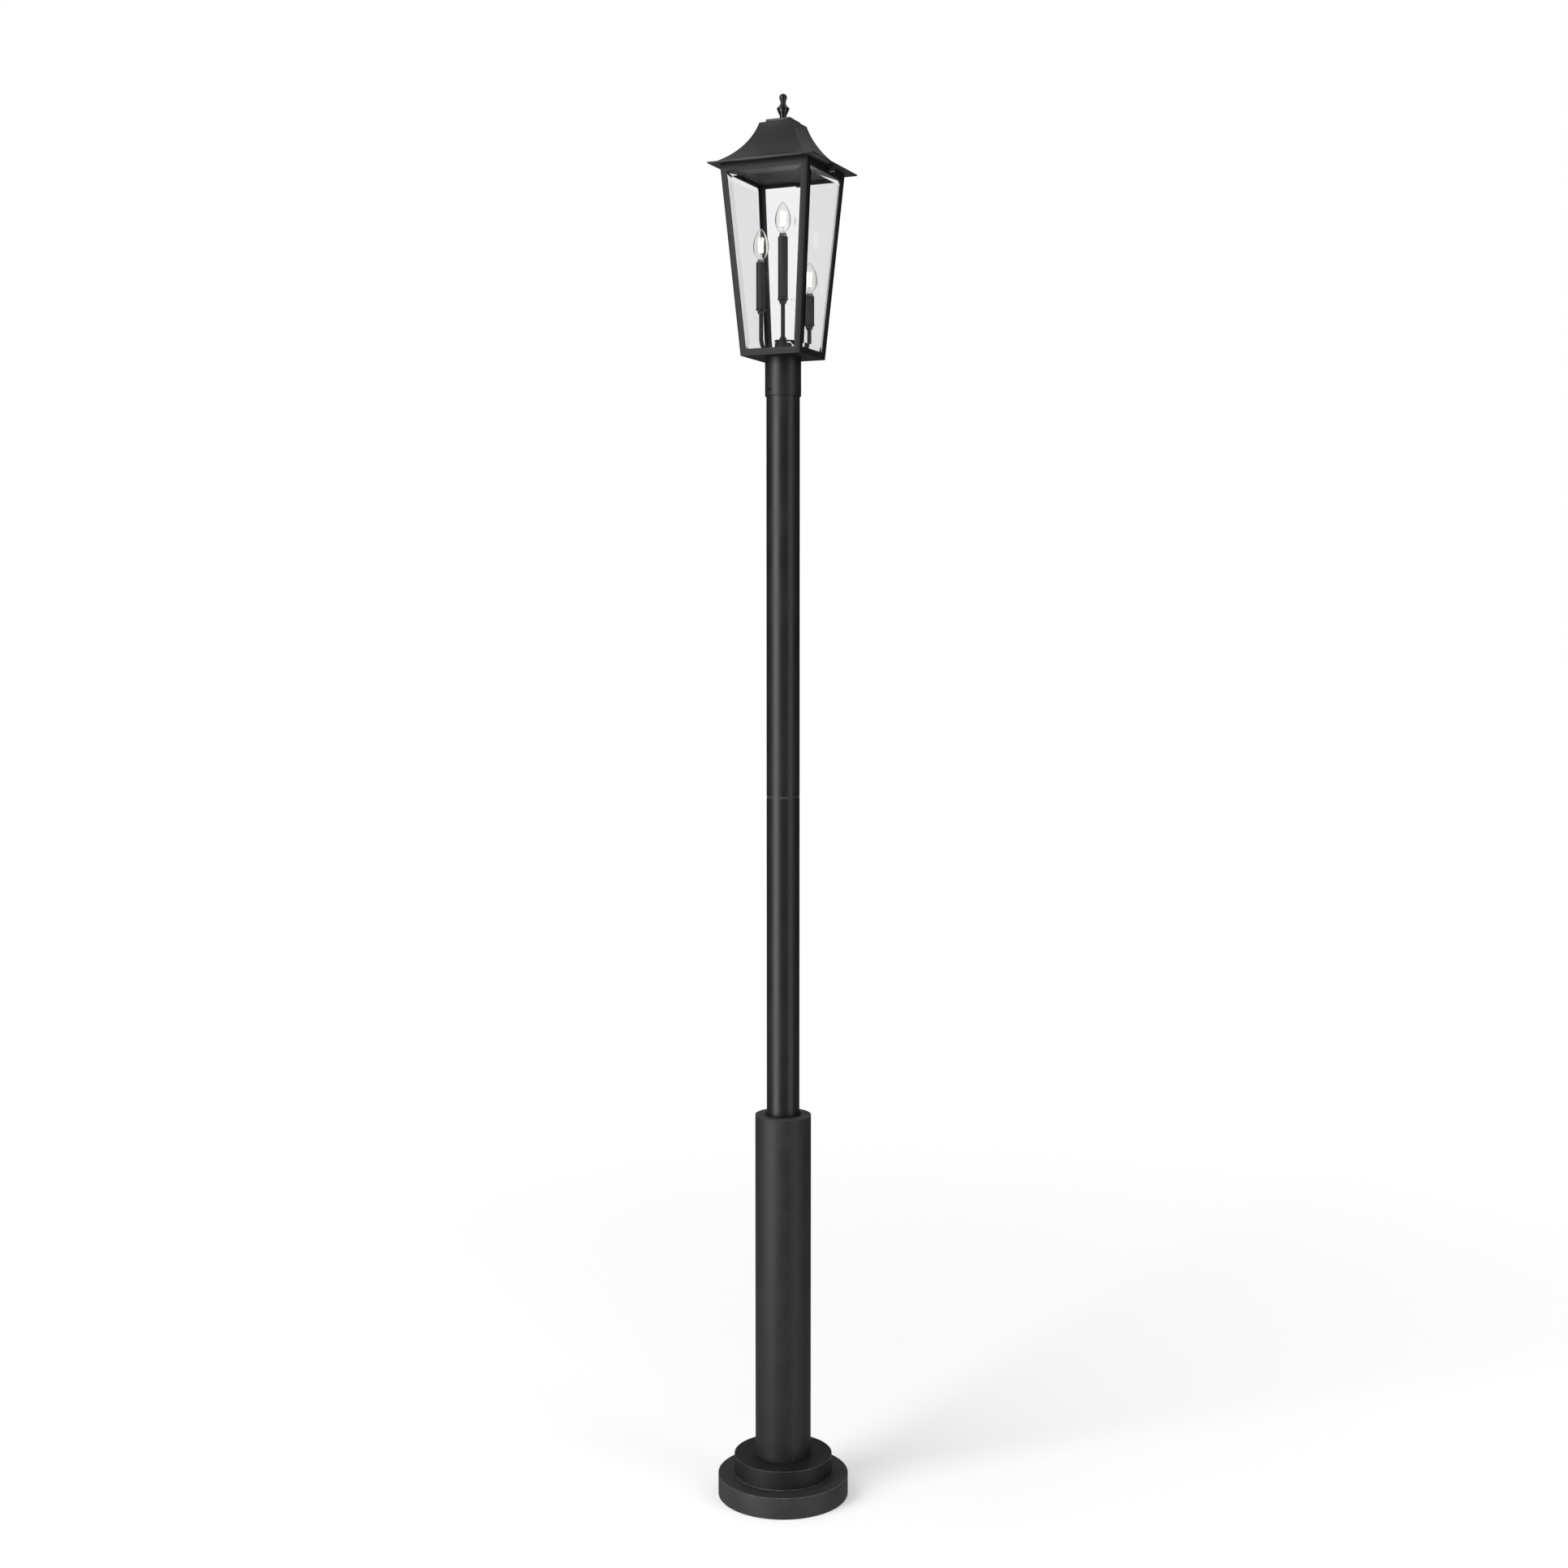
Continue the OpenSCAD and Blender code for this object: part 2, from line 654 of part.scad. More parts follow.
// Knurled thumb nut that draws the roof down on the ear
module thumb_nut() {
    teeth = 22;
    tooth_depth = 0.45;
    r = 6;
    rim_h = 2.5;
    shoulder_h = 1.5;
    knurl = [for (i = [0:2 * teeth - 1]) let(q = r - (i % 2) * tooth_depth, a = 180 * i / teeth)
        [q * cos(a), q * sin(a)]];
    z0 = cage_h - ear_t - slip - nut_h;
    color(black) translate([nut_x, 0, lantern_z + z0]) difference() {
        union() {
            cylinder(r = r + 0.8, h = rim_h);
            translate([0, 0, rim_h]) linear_extrude(nut_h - rim_h - shoulder_h) polygon(knurl);
            translate([0, 0, nut_h - shoulder_h]) cylinder(r = r - 1, h = shoulder_h);
        }
        translate([0, 0, -eps]) cylinder(d = stud_d + 1, h = nut_h + 2 * eps);
    }
}

// ---------- lamp heights ----------

candle_z_centre = cup_z_centre + cup_h;
candle_z_left = cup_z_left + cup_h;
candle_z_right = cup_z_right + cup_h;
bulb_z_centre = candle_z_centre + candle_l_centre + show_centre;
bulb_z_left = candle_z_left + candle_l_left + show_side;
bulb_z_right = candle_z_right + candle_l_right + show_side;
socket_z_centre = bulb_z_centre - slip - socket_l;
socket_z_left = bulb_z_left - slip - socket_l;
socket_z_right = bulb_z_right - slip - socket_l;

// ---------- assembly ----------

mount_plate();
cable_bushing();
base_lower_disc();
base_upper_disc();
base_spigot();
sleeve();
sleeve_cap();
cap_gasket();
sleeve_screws();
lower_pole();
pole_coupler();
seam_ring();
upper_pole();

fitter_collar();
collar_screws();
bottom_plate();
bottom_frame();
corner_post(0);  // post_front_right
corner_post(1);  // post_back_right
corner_post(2);  // post_back_left
corner_post(3);  // post_front_left
top_frame();
glass_pane(0);  // glass_front
glass_pane(1);  // glass_right
glass_pane(2);  // glass_back
glass_pane(3);  // glass_left
glass_clips();

cluster_body();
cluster_nut();
stem_centre();
side_arm(-1, cup_z_left);  // arm_left
side_arm(1, cup_z_right);  // arm_right
at_lamp(0) lamp_cup(cup_z_centre, socket_z_centre);  // cup_centre
at_lamp(-1) lamp_cup(cup_z_left, socket_z_left);  // cup_left
at_lamp(1) lamp_cup(cup_z_right, socket_z_right);  // cup_right
at_lamp(0) candle(candle_z_centre, candle_l_centre);  // candle_centre
at_lamp(-1) candle(candle_z_left, candle_l_left);  // candle_left
at_lamp(1) candle(candle_z_right, candle_l_right);  // candle_right
at_lamp(0) lamp_socket(socket_z_centre);  // socket_centre
at_lamp(-1) lamp_socket(socket_z_left);  // socket_left
at_lamp(1) lamp_socket(socket_z_right);  // socket_right
at_lamp(0) bulb_glass(bulb_z_centre);  // bulb_glass_centre
at_lamp(-1) bulb_glass(bulb_z_left);  // bulb_glass_left
at_lamp(1) bulb_glass(bulb_z_right);  // bulb_glass_right
at_lamp(0) bulb_base(bulb_z_centre);  // bulb_base_centre
at_lamp(-1) bulb_base(bulb_z_left);  // bulb_base_left
at_lamp(1) bulb_base(bulb_z_right);  // bulb_base_right
at_lamp(0) filament(bulb_z_centre);  // filament_centre
at_lamp(-1) filament(bulb_z_left);  // filament_left
at_lamp(1) filament(bulb_z_right);  // filament_right

hinge_fixed();
roof_brim();
roof_shell();
roof_cap();
heat_baffle();
hinge_leaf();
roof_stud();
finial_stud();
finial();
thumb_nut();
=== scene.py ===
"""Looks of the post lantern: bevelled metalwork, glazing, lamps and a plain studio round the CAD frame."""
import math

import bmesh
import bpy
from mathutils import Matrix, Vector


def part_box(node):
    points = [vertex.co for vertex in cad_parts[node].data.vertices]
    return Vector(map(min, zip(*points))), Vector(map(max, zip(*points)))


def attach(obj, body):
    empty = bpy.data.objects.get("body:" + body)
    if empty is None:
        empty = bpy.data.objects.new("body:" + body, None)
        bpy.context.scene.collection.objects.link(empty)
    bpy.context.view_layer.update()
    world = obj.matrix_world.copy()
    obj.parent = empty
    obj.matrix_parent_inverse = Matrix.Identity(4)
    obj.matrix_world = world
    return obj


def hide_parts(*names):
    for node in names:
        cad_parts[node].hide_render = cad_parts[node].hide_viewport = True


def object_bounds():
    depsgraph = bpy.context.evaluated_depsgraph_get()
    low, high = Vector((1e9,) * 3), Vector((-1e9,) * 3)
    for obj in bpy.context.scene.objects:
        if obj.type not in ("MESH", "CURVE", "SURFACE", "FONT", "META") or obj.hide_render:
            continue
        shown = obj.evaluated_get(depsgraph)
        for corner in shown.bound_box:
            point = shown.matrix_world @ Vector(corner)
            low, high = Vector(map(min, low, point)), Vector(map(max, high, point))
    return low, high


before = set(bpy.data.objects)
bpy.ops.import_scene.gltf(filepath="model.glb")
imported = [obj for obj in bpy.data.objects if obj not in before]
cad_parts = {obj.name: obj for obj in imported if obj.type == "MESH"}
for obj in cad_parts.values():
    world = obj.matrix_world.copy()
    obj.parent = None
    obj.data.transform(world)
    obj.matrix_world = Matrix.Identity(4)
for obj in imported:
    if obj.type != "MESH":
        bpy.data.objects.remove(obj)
cad_low, cad_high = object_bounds()

MM = 0.001
SIDES = ("front", "right", "back", "left")

# Sizes that the boxes of the CAD nodes don't give, in metres
COVER_WALL = 4 * MM         # wall of the base discs
SLEEVE_WALL = 4 * MM
POLE_WALL = 2.5 * MM
CAP_T = 6 * MM              # plate of the sleeve cap
CAP_SKIRT = 4 * MM          # wall of the skirt below that plate
SLEEVE_SCREW_TURN = 45      # degrees from +X to the first screw
COLLAR_SCREW_TURN = -114
FLANGE = 15 * MM            # width of the cage's rims round the glass
METAL = 2 * MM
GLASS = 3 * MM
PANE_EDGE = 6 * MM          # gap between the edge of a pane and the corner of the cage
PANE_RIM = 0.6 * MM         # thickness that the bevel leaves at the edge of a pane
PANE_BEVEL = 10.5 * MM      # width of that bevel
RAIL_TOP = 15.5 * MM
EAR_HALF = 10 * MM          # half the width of the lug that the roof is screwed down on
EAR_TIP_R = 7 * MM
EAR_HOLE_R = 3.2 * MM
ROOF_CURVE = 157 * MM       # radius of the hollow curve
ROOF_LIP = 3 * MM
ROOF_FOOT_ANGLE = 30        # degrees between the foot of the curve and the level
ROOF_SHEET = 1.6 * MM
BRIM_OPENING = 182 * MM
ARM_LEVEL = 14 * MM         # height of the arms above the underside of the cage
ARM_BEND = 26 * MM
CUP_H = 13.5 * MM
CROWN_H = 9 * MM            # plated mouth of a lamp socket
BULB_WALL = 0.8 * MM
BASE_R = 5.95 * MM          # screw cap of a bulb
STICKS = 6                  # filament sticks in a bulb
STICK_R = 1.15 * MM
STICK_FOOT_R = 3.8 * MM     # distance of the sticks from the bulb's axis, at foot and head
STICK_HEAD_R = 5.4 * MM
WIRE_R = 0.25 * MM


def node_box(name):
    low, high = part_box(name)
    return Vector(low), Vector(high)


def node_radius(name):
    low, high = node_box(name)
    return (high.x - low.x) / 2


# ---------- mesh helpers ----------

def finish_mesh(bm, name, smooth_angle=32):
    """Turn a bmesh into an object with smooth faces and sharp folds."""
    bmesh.ops.recalc_face_normals(bm, faces=bm.faces)
    mesh = bpy.data.meshes.new(name)
    bm.to_mesh(mesh)
    bm.free()
    for face in mesh.polygons:
        face.use_smooth = True
    mesh.set_sharp_from_angle(angle=math.radians(smooth_angle))
    obj = bpy.data.objects.new(name, mesh)
    bpy.context.collection.objects.link(obj)
    return obj


def apply_modifiers(obj):
    """Bake the object's modifiers into its mesh."""
    graph = bpy.context.evaluated_depsgraph_get()
    mesh = bpy.data.meshes.new_from_object(obj.evaluated_get(graph))
    obj.modifiers.clear()
    obj.data = mesh
    return obj


def place(obj, body, material, slot, *nodes):
    """Give a piece its material and its body and hide the CAD nodes it stands for; the slot argument is
    not used.
    """
    obj.data.materials.clear()
    obj.data.materials.append(material)
    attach(obj, body)
    if nodes:
        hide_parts(*nodes)
    return obj


def fillet(points, steps=4):
    """Closed outline of (r, z, radius) points with each corner rounded by its radius."""
    outline = []
    count = len(points)
    for i, (x, y, radius) in enumerate(points):
        here = Vector((x, y))
        before = Vector(points[i - 1][:2]) - here
        after = Vector(points[(i + 1) % count][:2]) - here
        if radius <= 0:
            outline.append((x, y))
            continue
        angle = before.angle(after)
        trim = min(radius / math.tan(angle / 2), before.length * 0.49, after.length * 0.49)
        start = here + before.normalized() * trim
        end = here + after.normalized() * trim
        for k in range(steps + 1):
            t = k / steps
            point = start * (1 - t) ** 2 + here * 2 * t * (1 - t) + end * t ** 2
            outline.append((point.x, point.y))
    return outline


def lathe(name, outline, centre=(0.0, 0.0), steps=96, smooth_angle=32):
    """Turn a closed outline of (r, z) points round an upright axis."""
    bm = bmesh.new()
    rings = []
    for radius, z in outline:
        if radius < 1e-7:
            rings.append([bm.verts.new((centre[0], centre[1], z))])
            continue
        ring = []
        for k in range(steps):
            a = 2 * math.pi * k / steps
            x = centre[0] + radius * math.cos(a)
            y = centre[1] + radius * math.sin(a)
            ring.append(bm.verts.new((x, y, z)))
        rings.append(ring)
    for i, low in enumerate(rings):
        high = rings[(i + 1) % len(rings)]
        for k in range(steps):
            a, b = low[k % len(low)], low[(k + 1) % len(low)]
            c, d = high[(k + 1) % len(high)], high[k % len(high)]
            corners = list(dict.fromkeys((a, b, c, d)))
            if len(corners) > 2:
                bm.faces.new(corners)
    return finish_mesh(bm, name, smooth_angle)


def bevel_sharp(bm, width, segments=2, angle=20):
    """Round every fold of the mesh that is sharper than the angle."""
    limit = math.radians(angle)
    edges = [e for e in bm.edges if len(e.link_faces) == 2 and e.calc_face_angle() > limit]
    bmesh.ops.bevel(
        bm, geom=edges, offset=width, segments=segments, profile=0.5,
        affect="EDGES", clamp_overlap=True,
    )


def prism(name, outline, z0, z1, bevel=0.4 * MM, holes=()):
    """Upright block with a closed (x, y) outline, bevelled all round; holes are inner outlines."""
    bm = bmesh.new()
    loops = [outline, *holes]
    rings = []
    for loop in loops:
        low = [bm.verts.new((x, y, z0)) for x, y in loop]
        high = [bm.verts.new((x, y, z1)) for x, y in loop]
        rings.append((low, high))
        for i in range(len(loop)):
            j = (i + 1) % len(loop)
            bm.faces.new((low[i], low[j], high[j], high[i]))
    for level in (0, 1):
        edges = []
        for ring in rings:
            verts = ring[level]
            for i in range(len(verts)):
                edges.append(bm.edges.get((verts[i], verts[(i + 1) % len(verts)])))
        bmesh.ops.triangle_fill(bm, edges=edges, use_beauty=True, use_dissolve=True)
    bmesh.ops.recalc_face_normals(bm, faces=bm.faces)
    if bevel:
        bevel_sharp(bm, bevel)
    return finish_mesh(bm, name)


def circle_points(x, y, radius, count=32):
    angles = [2 * math.pi * k / count for k in range(count)]
    return [(x + radius * math.cos(a), y + radius * math.sin(a)) for a in angles]


def square_points(half):
    return [(-half, -half), (half, -half), (half, half), (-half, half)]


def tube_along(name, path, radius, steps=24):
    """Round rod along a path of points, closed at both ends."""
    bm = bmesh.new()
    rings = []
    side = None
    for i, point in enumerate(path):
        ahead = path[min(i + 1, len(path) - 1)] - path[max(i - 1, 0)]
        ahead.normalize()
        if side is None:
            side = ahead.orthogonal().normalized()
        side = (side - ahead * side.dot(ahead)).normalized()
        up = ahead.cross(side)
        ring = []
        for k in range(steps):
            a = 2 * math.pi * k / steps
            ring.append(bm.verts.new(point + side * radius * math.cos(a) + up * radius * math.sin(a)))
        rings.append(ring)
    for low, high in zip(rings, rings[1:]):
        for k in range(steps):
            j = (k + 1) % steps
            bm.faces.new((low[k], low[j], high[j], high[k]))
    bm.faces.new(list(reversed(rings[0])))
    bm.faces.new(rings[-1])
    return finish_mesh(bm, name)


def join_meshes(name, parts):
    """One object from several, with the parts removed."""
    bm = bmesh.new()
    for part in parts:
        bm.from_mesh(part.data)
        bpy.data.objects.remove(part)
    return finish_mesh(bm, name)


def cut(obj, cutter):
    """Take the cutter's shape out of a piece."""
    tool = obj.modifiers.new("cut", "BOOLEAN")
    tool.operation = "DIFFERENCE"
    tool.solver = "EXACT"
    tool.object = cutter
    apply_modifiers(obj)
    bpy.data.objects.remove(cutter)
    obj.data.set_sharp_from_angle(angle=math.radians(32))
    return obj


# ---------- materials ----------

def new_material(name):
    material = bpy.data.materials.new(name)
    material.use_nodes = True
    nodes = material.node_tree.nodes
    return material, nodes, material.node_tree.links, nodes["Principled BSDF"]


def noise_node(nodes, links, coords, scale, detail=3.0, roughness=0.55):
    noise = nodes.new("ShaderNodeTexNoise")
    noise.inputs["Scale"].default_value = scale
    noise.inputs["Detail"].default_value = detail
    noise.inputs["Roughness"].default_value = roughness
    links.new(coords, noise.inputs["Vector"])
    return noise.outputs["Fac"]


def remap(nodes, links, value, low, high, from_low=0.3, from_high=0.7):
    node = nodes.new("ShaderNodeMapRange")
    node.inputs["From Min"].default_value = from_low
    node.inputs["From Max"].default_value = from_high
    node.inputs["To Min"].default_value = low
    node.inputs["To Max"].default_value = high
    links.new(value, node.inputs["Value"])
    return node.outputs["Result"]


def mix_colours(nodes, links, factor, first, second):
    node = nodes.new("ShaderNodeMix")
    node.data_type = "RGBA"
    for socket, value in ((6, first), (7, second)):
        if isinstance(value, tuple):
            node.inputs[socket].default_value = (*value, 1)
        else:
            links.new(value, node.inputs[socket])
    links.new(factor, node.inputs[0])
    return node.outputs[2]


def upward(nodes, links, normal, low, high):
    """Rises from 0 to 1 as a surface turns to look up, between two values of its normal's height."""
    axes = nodes.new("ShaderNodeSeparateXYZ")
    links.new(normal, axes.inputs[0])
    return remap(nodes, links, axes.outputs["Z"], 0.0, 1.0, low, high)


def maths(nodes, links, operation, first, second):
    """One sum; each of its two terms is a socket or a plain number."""
    node = nodes.new("ShaderNodeMath")
    node.operation = operation
    for socket, term in zip(node.inputs, (first, second)):
        if isinstance(term, float):
            socket.default_value = term
        else:
            links.new(term, socket)
    return node.outputs[0]


def edge_mask(nodes, links, radius, painted_rim_highlight):
    """1 on the folds of a piece and 0 on its flats, from how far a bevel would turn the normal."""
    bevel = nodes.new("ShaderNodeBevel")
    bevel.samples = 4
    bevel.inputs["Radius"].default_value = radius
    geometry = nodes.new("ShaderNodeNewGeometry")
    dot = nodes.new("ShaderNodeVectorMath")
    dot.operation = "DOT_PRODUCT"
    links.new(bevel.outputs["Normal"], dot.inputs[0])
    links.new(geometry.outputs["Normal"], dot.inputs[1])
    folds = remap(nodes, links, dot.outputs["Value"], 1.0, 0.0, 0.80, 0.99)
    # Painted highlight: the pale edge tone is kept to rims that look up
    if painted_rim_highlight:
        rims = upward(nodes, links, bevel.outputs["Normal"], 0.0, 0.4)
        return maths(nodes, links, "MULTIPLY", folds, rims)
    return folds


def coated(name, colour, roughness, grain=900.0, bump=0.12, wear_and_highlight=(0.05, 0.05, 0.052),
           metallic=0.0, edge=0.9 * MM, specular=0.5, painted_rim_highlight=False, painted_top_shading=None):
    """Coated or plated surface: mottled tone, fine grain, uneven gloss and paler edges, which are wear
    and, where the edge tone is strong, a painted highlight.

    One argument keeps the paler edges to rims that look up, a painted highlight, and another gives faces
    that look up a tone of their own, painted light and shade on tops.
    """
    material, nodes, links, shader = new_material(name)
    coords = nodes.new("ShaderNodeTexCoord").outputs["Object"]
    cloud = noise_node(nodes, links, coords, 14.0)
    fine = noise_node(nodes, links, coords, grain, 2.0)
    darker = tuple(c * 0.8 for c in colour)
    lighter = tuple(c * 1.25 for c in colour)
    tone = mix_colours(nodes, links, remap(nodes, links, cloud, 0.0, 1.0), darker, lighter)
    # Painted light and shade on tops: faces that look up are blended to a tone of their own, lighter or
    # darker than the coat
    if painted_top_shading:
        facing = nodes.new("ShaderNodeNewGeometry").outputs["Normal"]
        tone = mix_colours(nodes, links, upward(nodes, links, facing, 0.7, 0.95), tone, painted_top_shading)
    edges = edge_mask(nodes, links, edge, painted_rim_highlight)
    scuffs = remap(nodes, links, noise_node(nodes, links, coords, 160.0, 4.0), 0.25, 1.0, 0.35, 0.6)
    # Paler edges: wear all round, and a painted highlight where the edge tone is strong on rims that look
    # up
    wear_and_highlight_mask = maths(nodes, links, "MULTIPLY", edges, scuffs)
    tone = mix_colours(nodes, links, wear_and_highlight_mask, tone, wear_and_highlight)
    links.new(tone, shader.inputs["Base Color"])
    gloss = remap(nodes, links, cloud, roughness * 0.92, roughness * 1.08)
    links.new(gloss, shader.inputs["Roughness"])
    relief = nodes.new("ShaderNodeBump")
    relief.inputs["Strength"].default_value = bump
    relief.inputs["Distance"].default_value = 0.2 * MM
    links.new(fine, relief.inputs["Height"])
    links.new(relief.outputs["Normal"], shader.inputs["Normal"])
    shader.inputs["Metallic"].default_value = metallic
    shader.inputs["Specular IOR Level"].default_value = specular
    return material


def clear_glass(name, tint, ior, ripple, ripple_scale):
    """Clear glass that lets lamp light straight through, with a faint ripple and a little haze."""
    material, nodes, links, shader = new_material(name)
    coords = nodes.new("ShaderNodeTexCoord").outputs["Object"]
    shader.inputs["Transmission Weight"].default_value = 1.0
    shader.inputs["IOR"].default_value = ior
    haze = remap(nodes, links, noise_node(nodes, links, coords, 9.0), 0.0, 0.025)
    links.new(haze, shader.inputs["Roughness"])
    tone = mix_colours(
        nodes, links, noise_node(nodes, links, coords, 5.0), tint, tuple(c * 0.985 for c in tint),
    )
    links.new(tone, shader.inputs["Base Color"])
    relief = nodes.new("ShaderNodeBump")
    relief.inputs["Strength"].default_value = ripple
    relief.inputs["Distance"].default_value = 0.3 * MM
    links.new(noise_node(nodes, links, coords, ripple_scale, 1.0), relief.inputs["Height"])
    links.new(relief.outputs["Normal"], shader.inputs["Normal"])
    open_way = nodes.new("ShaderNodeBsdfTransparent")
    open_way.inputs["Color"].default_value = (*tint, 1)
    ray = nodes.new("ShaderNodeLightPath")
    mix = nodes.new("ShaderNodeMixShader")
    links.new(ray.outputs["Is Shadow Ray"], mix.inputs[0])
    links.new(shader.outputs["BSDF"], mix.inputs[1])
    links.new(open_way.outputs["BSDF"], mix.inputs[2])
    links.new(mix.outputs["Shader"], nodes["Material Output"].inputs["Surface"])
    return material


def glowing(name, colour, strength):
    """Phosphor-coated filament: a grained, warm, glowing surface."""
    material, nodes, links, shader = new_material(name)
    coords = nodes.new("ShaderNodeTexCoord").outputs["Object"]
    grain = noise_node(nodes, links, coords, 1500.0, 2.0)
    warm = tuple(c * k for c, k in zip(colour, (1.0, 0.86, 0.62)))
    tone = mix_colours(nodes, links, remap(nodes, links, grain, 0.0, 1.0), colour, warm)
    links.new(tone, shader.inputs["Base Color"])
    links.new(tone, shader.inputs["Emission Color"])
    shader.inputs["Emission Strength"].default_value = strength
    shader.inputs["Roughness"].default_value = 0.5
    return material


COAT_TONE = (0.0095, 0.0095, 0.0098)
SLEEVE_TONE = (0.016, 0.016, 0.0163)
SCREW_TONE = (0.006, 0.006, 0.0062)

BLACK = coated("powder_black", COAT_TONE, 0.42)
POLE = coated("powder_black_pole", COAT_TONE, 0.42, bump=0.03)
# Pole seam: the pale tone on the rims of its groove is a painted highlight
SEAM = coated("powder_black_seam", COAT_TONE, 0.42, bump=0.03, wear_and_highlight=(0.3, 0.3, 0.303), edge=1.2 * MM)
CAGE = coated("powder_black_cage", COAT_TONE, 0.5, specular=0.3)
# Upper disc: the pale tone on its rims that look up is a painted highlight
DISC = coated("powder_black_disc", (0.009, 0.009, 0.0092), 0.56, specular=0.38,
              wear_and_highlight=(0.45, 0.45, 0.455), edge=1.6 * MM, painted_rim_highlight=True)
MATT = coated("powder_black_matt", SLEEVE_TONE, 0.56)
# Sleeve cap: its top is painted lighter, painted light, and the pale tone on its rims that look up is a
# painted highlight
CAP = coated("powder_black_cap", SLEEVE_TONE, 0.56, wear_and_highlight=(0.22, 0.22, 0.223),
             edge=1.6 * MM, painted_rim_highlight=True, painted_top_shading=(0.045, 0.045, 0.046))
# Lower disc: a lighter copy of the black coat, painted light that stands in for light from the floor; its
# top is painted darker, painted shade beside the upper disc, and the pale tone on its rims that look up is
# a painted highlight
FOOT_PAINTED_LIGHT = coated("powder_black_foot", (0.036, 0.036, 0.0364), 0.56,
              wear_and_highlight=(0.5, 0.5, 0.505), edge=1.6 * MM, painted_rim_highlight=True, painted_top_shading=(0.024, 0.024, 0.0243))
SATIN = coated("satin_black", (0.009, 0.009, 0.0092), 0.26, grain=500.0, bump=0.05)
CANDLE = coated("candle_black", (0.013, 0.0125, 0.0125), 0.5, grain=1400.0, bump=0.2)
# Darker copy of the black coat for the lantern's bottom plate and heat baffle: painted shade
PAINTED_SHADE_BLACK = coated("ceiling_black", (0.006, 0.006, 0.006), 0.6, specular=0.2)
RUBBER = coated("rubber_black", (0.004, 0.004, 0.004), 0.55, grain=1800.0, bump=0.3, specular=0.2)
PHENOLIC = coated("socket_black", (0.01, 0.01, 0.01), 0.35, grain=700.0, bump=0.06)
STEEL = coated("zinc_steel", (0.36, 0.36, 0.37), 0.34, grain=600.0, wear_and_highlight=(0.5, 0.5, 0.5), metallic=1.0)
SCREW = coated("blackened_steel", SCREW_TONE, 0.42, wear_and_highlight=(0.03, 0.03, 0.03))
# Foot screws: blackened steel with a painted highlight on their rims that look up
SCREW_PAINTED_HIGHLIGHT = coated("blackened_steel_painted_highlight", SCREW_TONE, 0.42, wear_and_highlight=(0.5, 0.5, 0.505),
                      edge=0.7 * MM, painted_rim_highlight=True)
NICKEL = coated("nickel", (0.62, 0.6, 0.56), 0.2, grain=400.0, bump=0.04, wear_and_highlight=(0.8, 0.78, 0.74),
                metallic=1.0)
PANE = clear_glass("pane_glass", (0.985, 0.985, 0.988), 1.36, 0.02, 12.0)
BULB = clear_glass("bulb_glass", (0.985, 0.985, 0.98), 1.36, 0.02, 60.0)
STEM = clear_glass("stem_glass", (0.97, 0.975, 0.97), 1.5, 0.05, 200.0)
GLOW = glowing("filament_glow", (1.0, 0.95, 0.86), 1.3)

CAD_LOOKS = {
    "mount_plate": STEEL, "cable_bushing": RUBBER, "base_spigot": BLACK, "pole_coupler": STEEL,
    "bottom_plate": PAINTED_SHADE_BLACK, "glass_clips": BLACK, "heat_baffle": PAINTED_SHADE_BLACK, "hinge_fixed": BLACK,
    "hinge_leaf": BLACK, "roof_stud": STEEL, "finial_stud": STEEL,
}
for node_name, look in CAD_LOOKS.items():
    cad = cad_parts[node_name]
    cad.data.materials.clear()
    cad.data.materials.append(look)


# ---------- base and pole ----------

def ring_outline(inner, outer, z0, z1, top=1.5 * MM, foot=0.6 * MM, inside=0.3 * MM):
    """Outline of a plain ring or tube with rounded rims."""
    return fillet([(inner, z0, inside), (outer, z0, foot), (outer, z1, top), (inner, z1, inside)])


def disc_cover(name, node, bead):
    """Hollow base disc with a crisp rim, a hole round the spigot and, if asked for, a bead at its foot."""
    low, high = node_box(node)
    outer = (high.x - low.x) / 2
    inside = outer - COVER_WALL
    under = high.z - COVER_WALL
    hole = node_radius("base_spigot") + 0.5 * MM
    foot = [(outer, low.z, 0.8 * MM)]
    if bead:
        foot = [(outer + bead, low.z, 0.4 * MM), (outer + bead, low.z + bead, 0.4 * MM),
                (outer, low.z + 2 * bead, 0)]
    outline = fillet([
        (inside, low.z, 0), *foot, (outer, high.z, 0.5 * MM), (hole, high.z, 0.5 * MM),
        (hole, under, 0), (inside, under, 0),
    ])
    return lathe(name, outline, steps=160)


for disc, coat, bead in (("base_lower_disc", FOOT_PAINTED_LIGHT, 0), ("base_upper_disc", DISC, 1.5 * MM)):
    place(disc_cover(disc + "_cover", disc, bead), "post", coat, "powder_coat", disc)


def upright_tube(name, node, inner, material=POLE, body="post", top=0.6 * MM, foot=0.6 * MM):
    low, high = node_box(node)
    outer = (high.x - low.x) / 2
    obj = lathe(name, ring_outline(inner, outer, low.z, high.z, top, foot), steps=128)
    return place(obj, body, material, "powder_coat", node)


pole_r = node_radius("lower_pole")
sleeve_r = node_radius("sleeve")
pole_bore = pole_r - POLE_WALL

sleeve = upright_tube("sleeve_tube", "sleeve", sleeve_r - SLEEVE_WALL, MATT, top=0.1 * MM)
upright_tube("pole_lower_tube", "lower_pole", pole_bore, foot=0.3 * MM)
upright_tube("pole_upper_tube", "upper_pole", pole_bore)

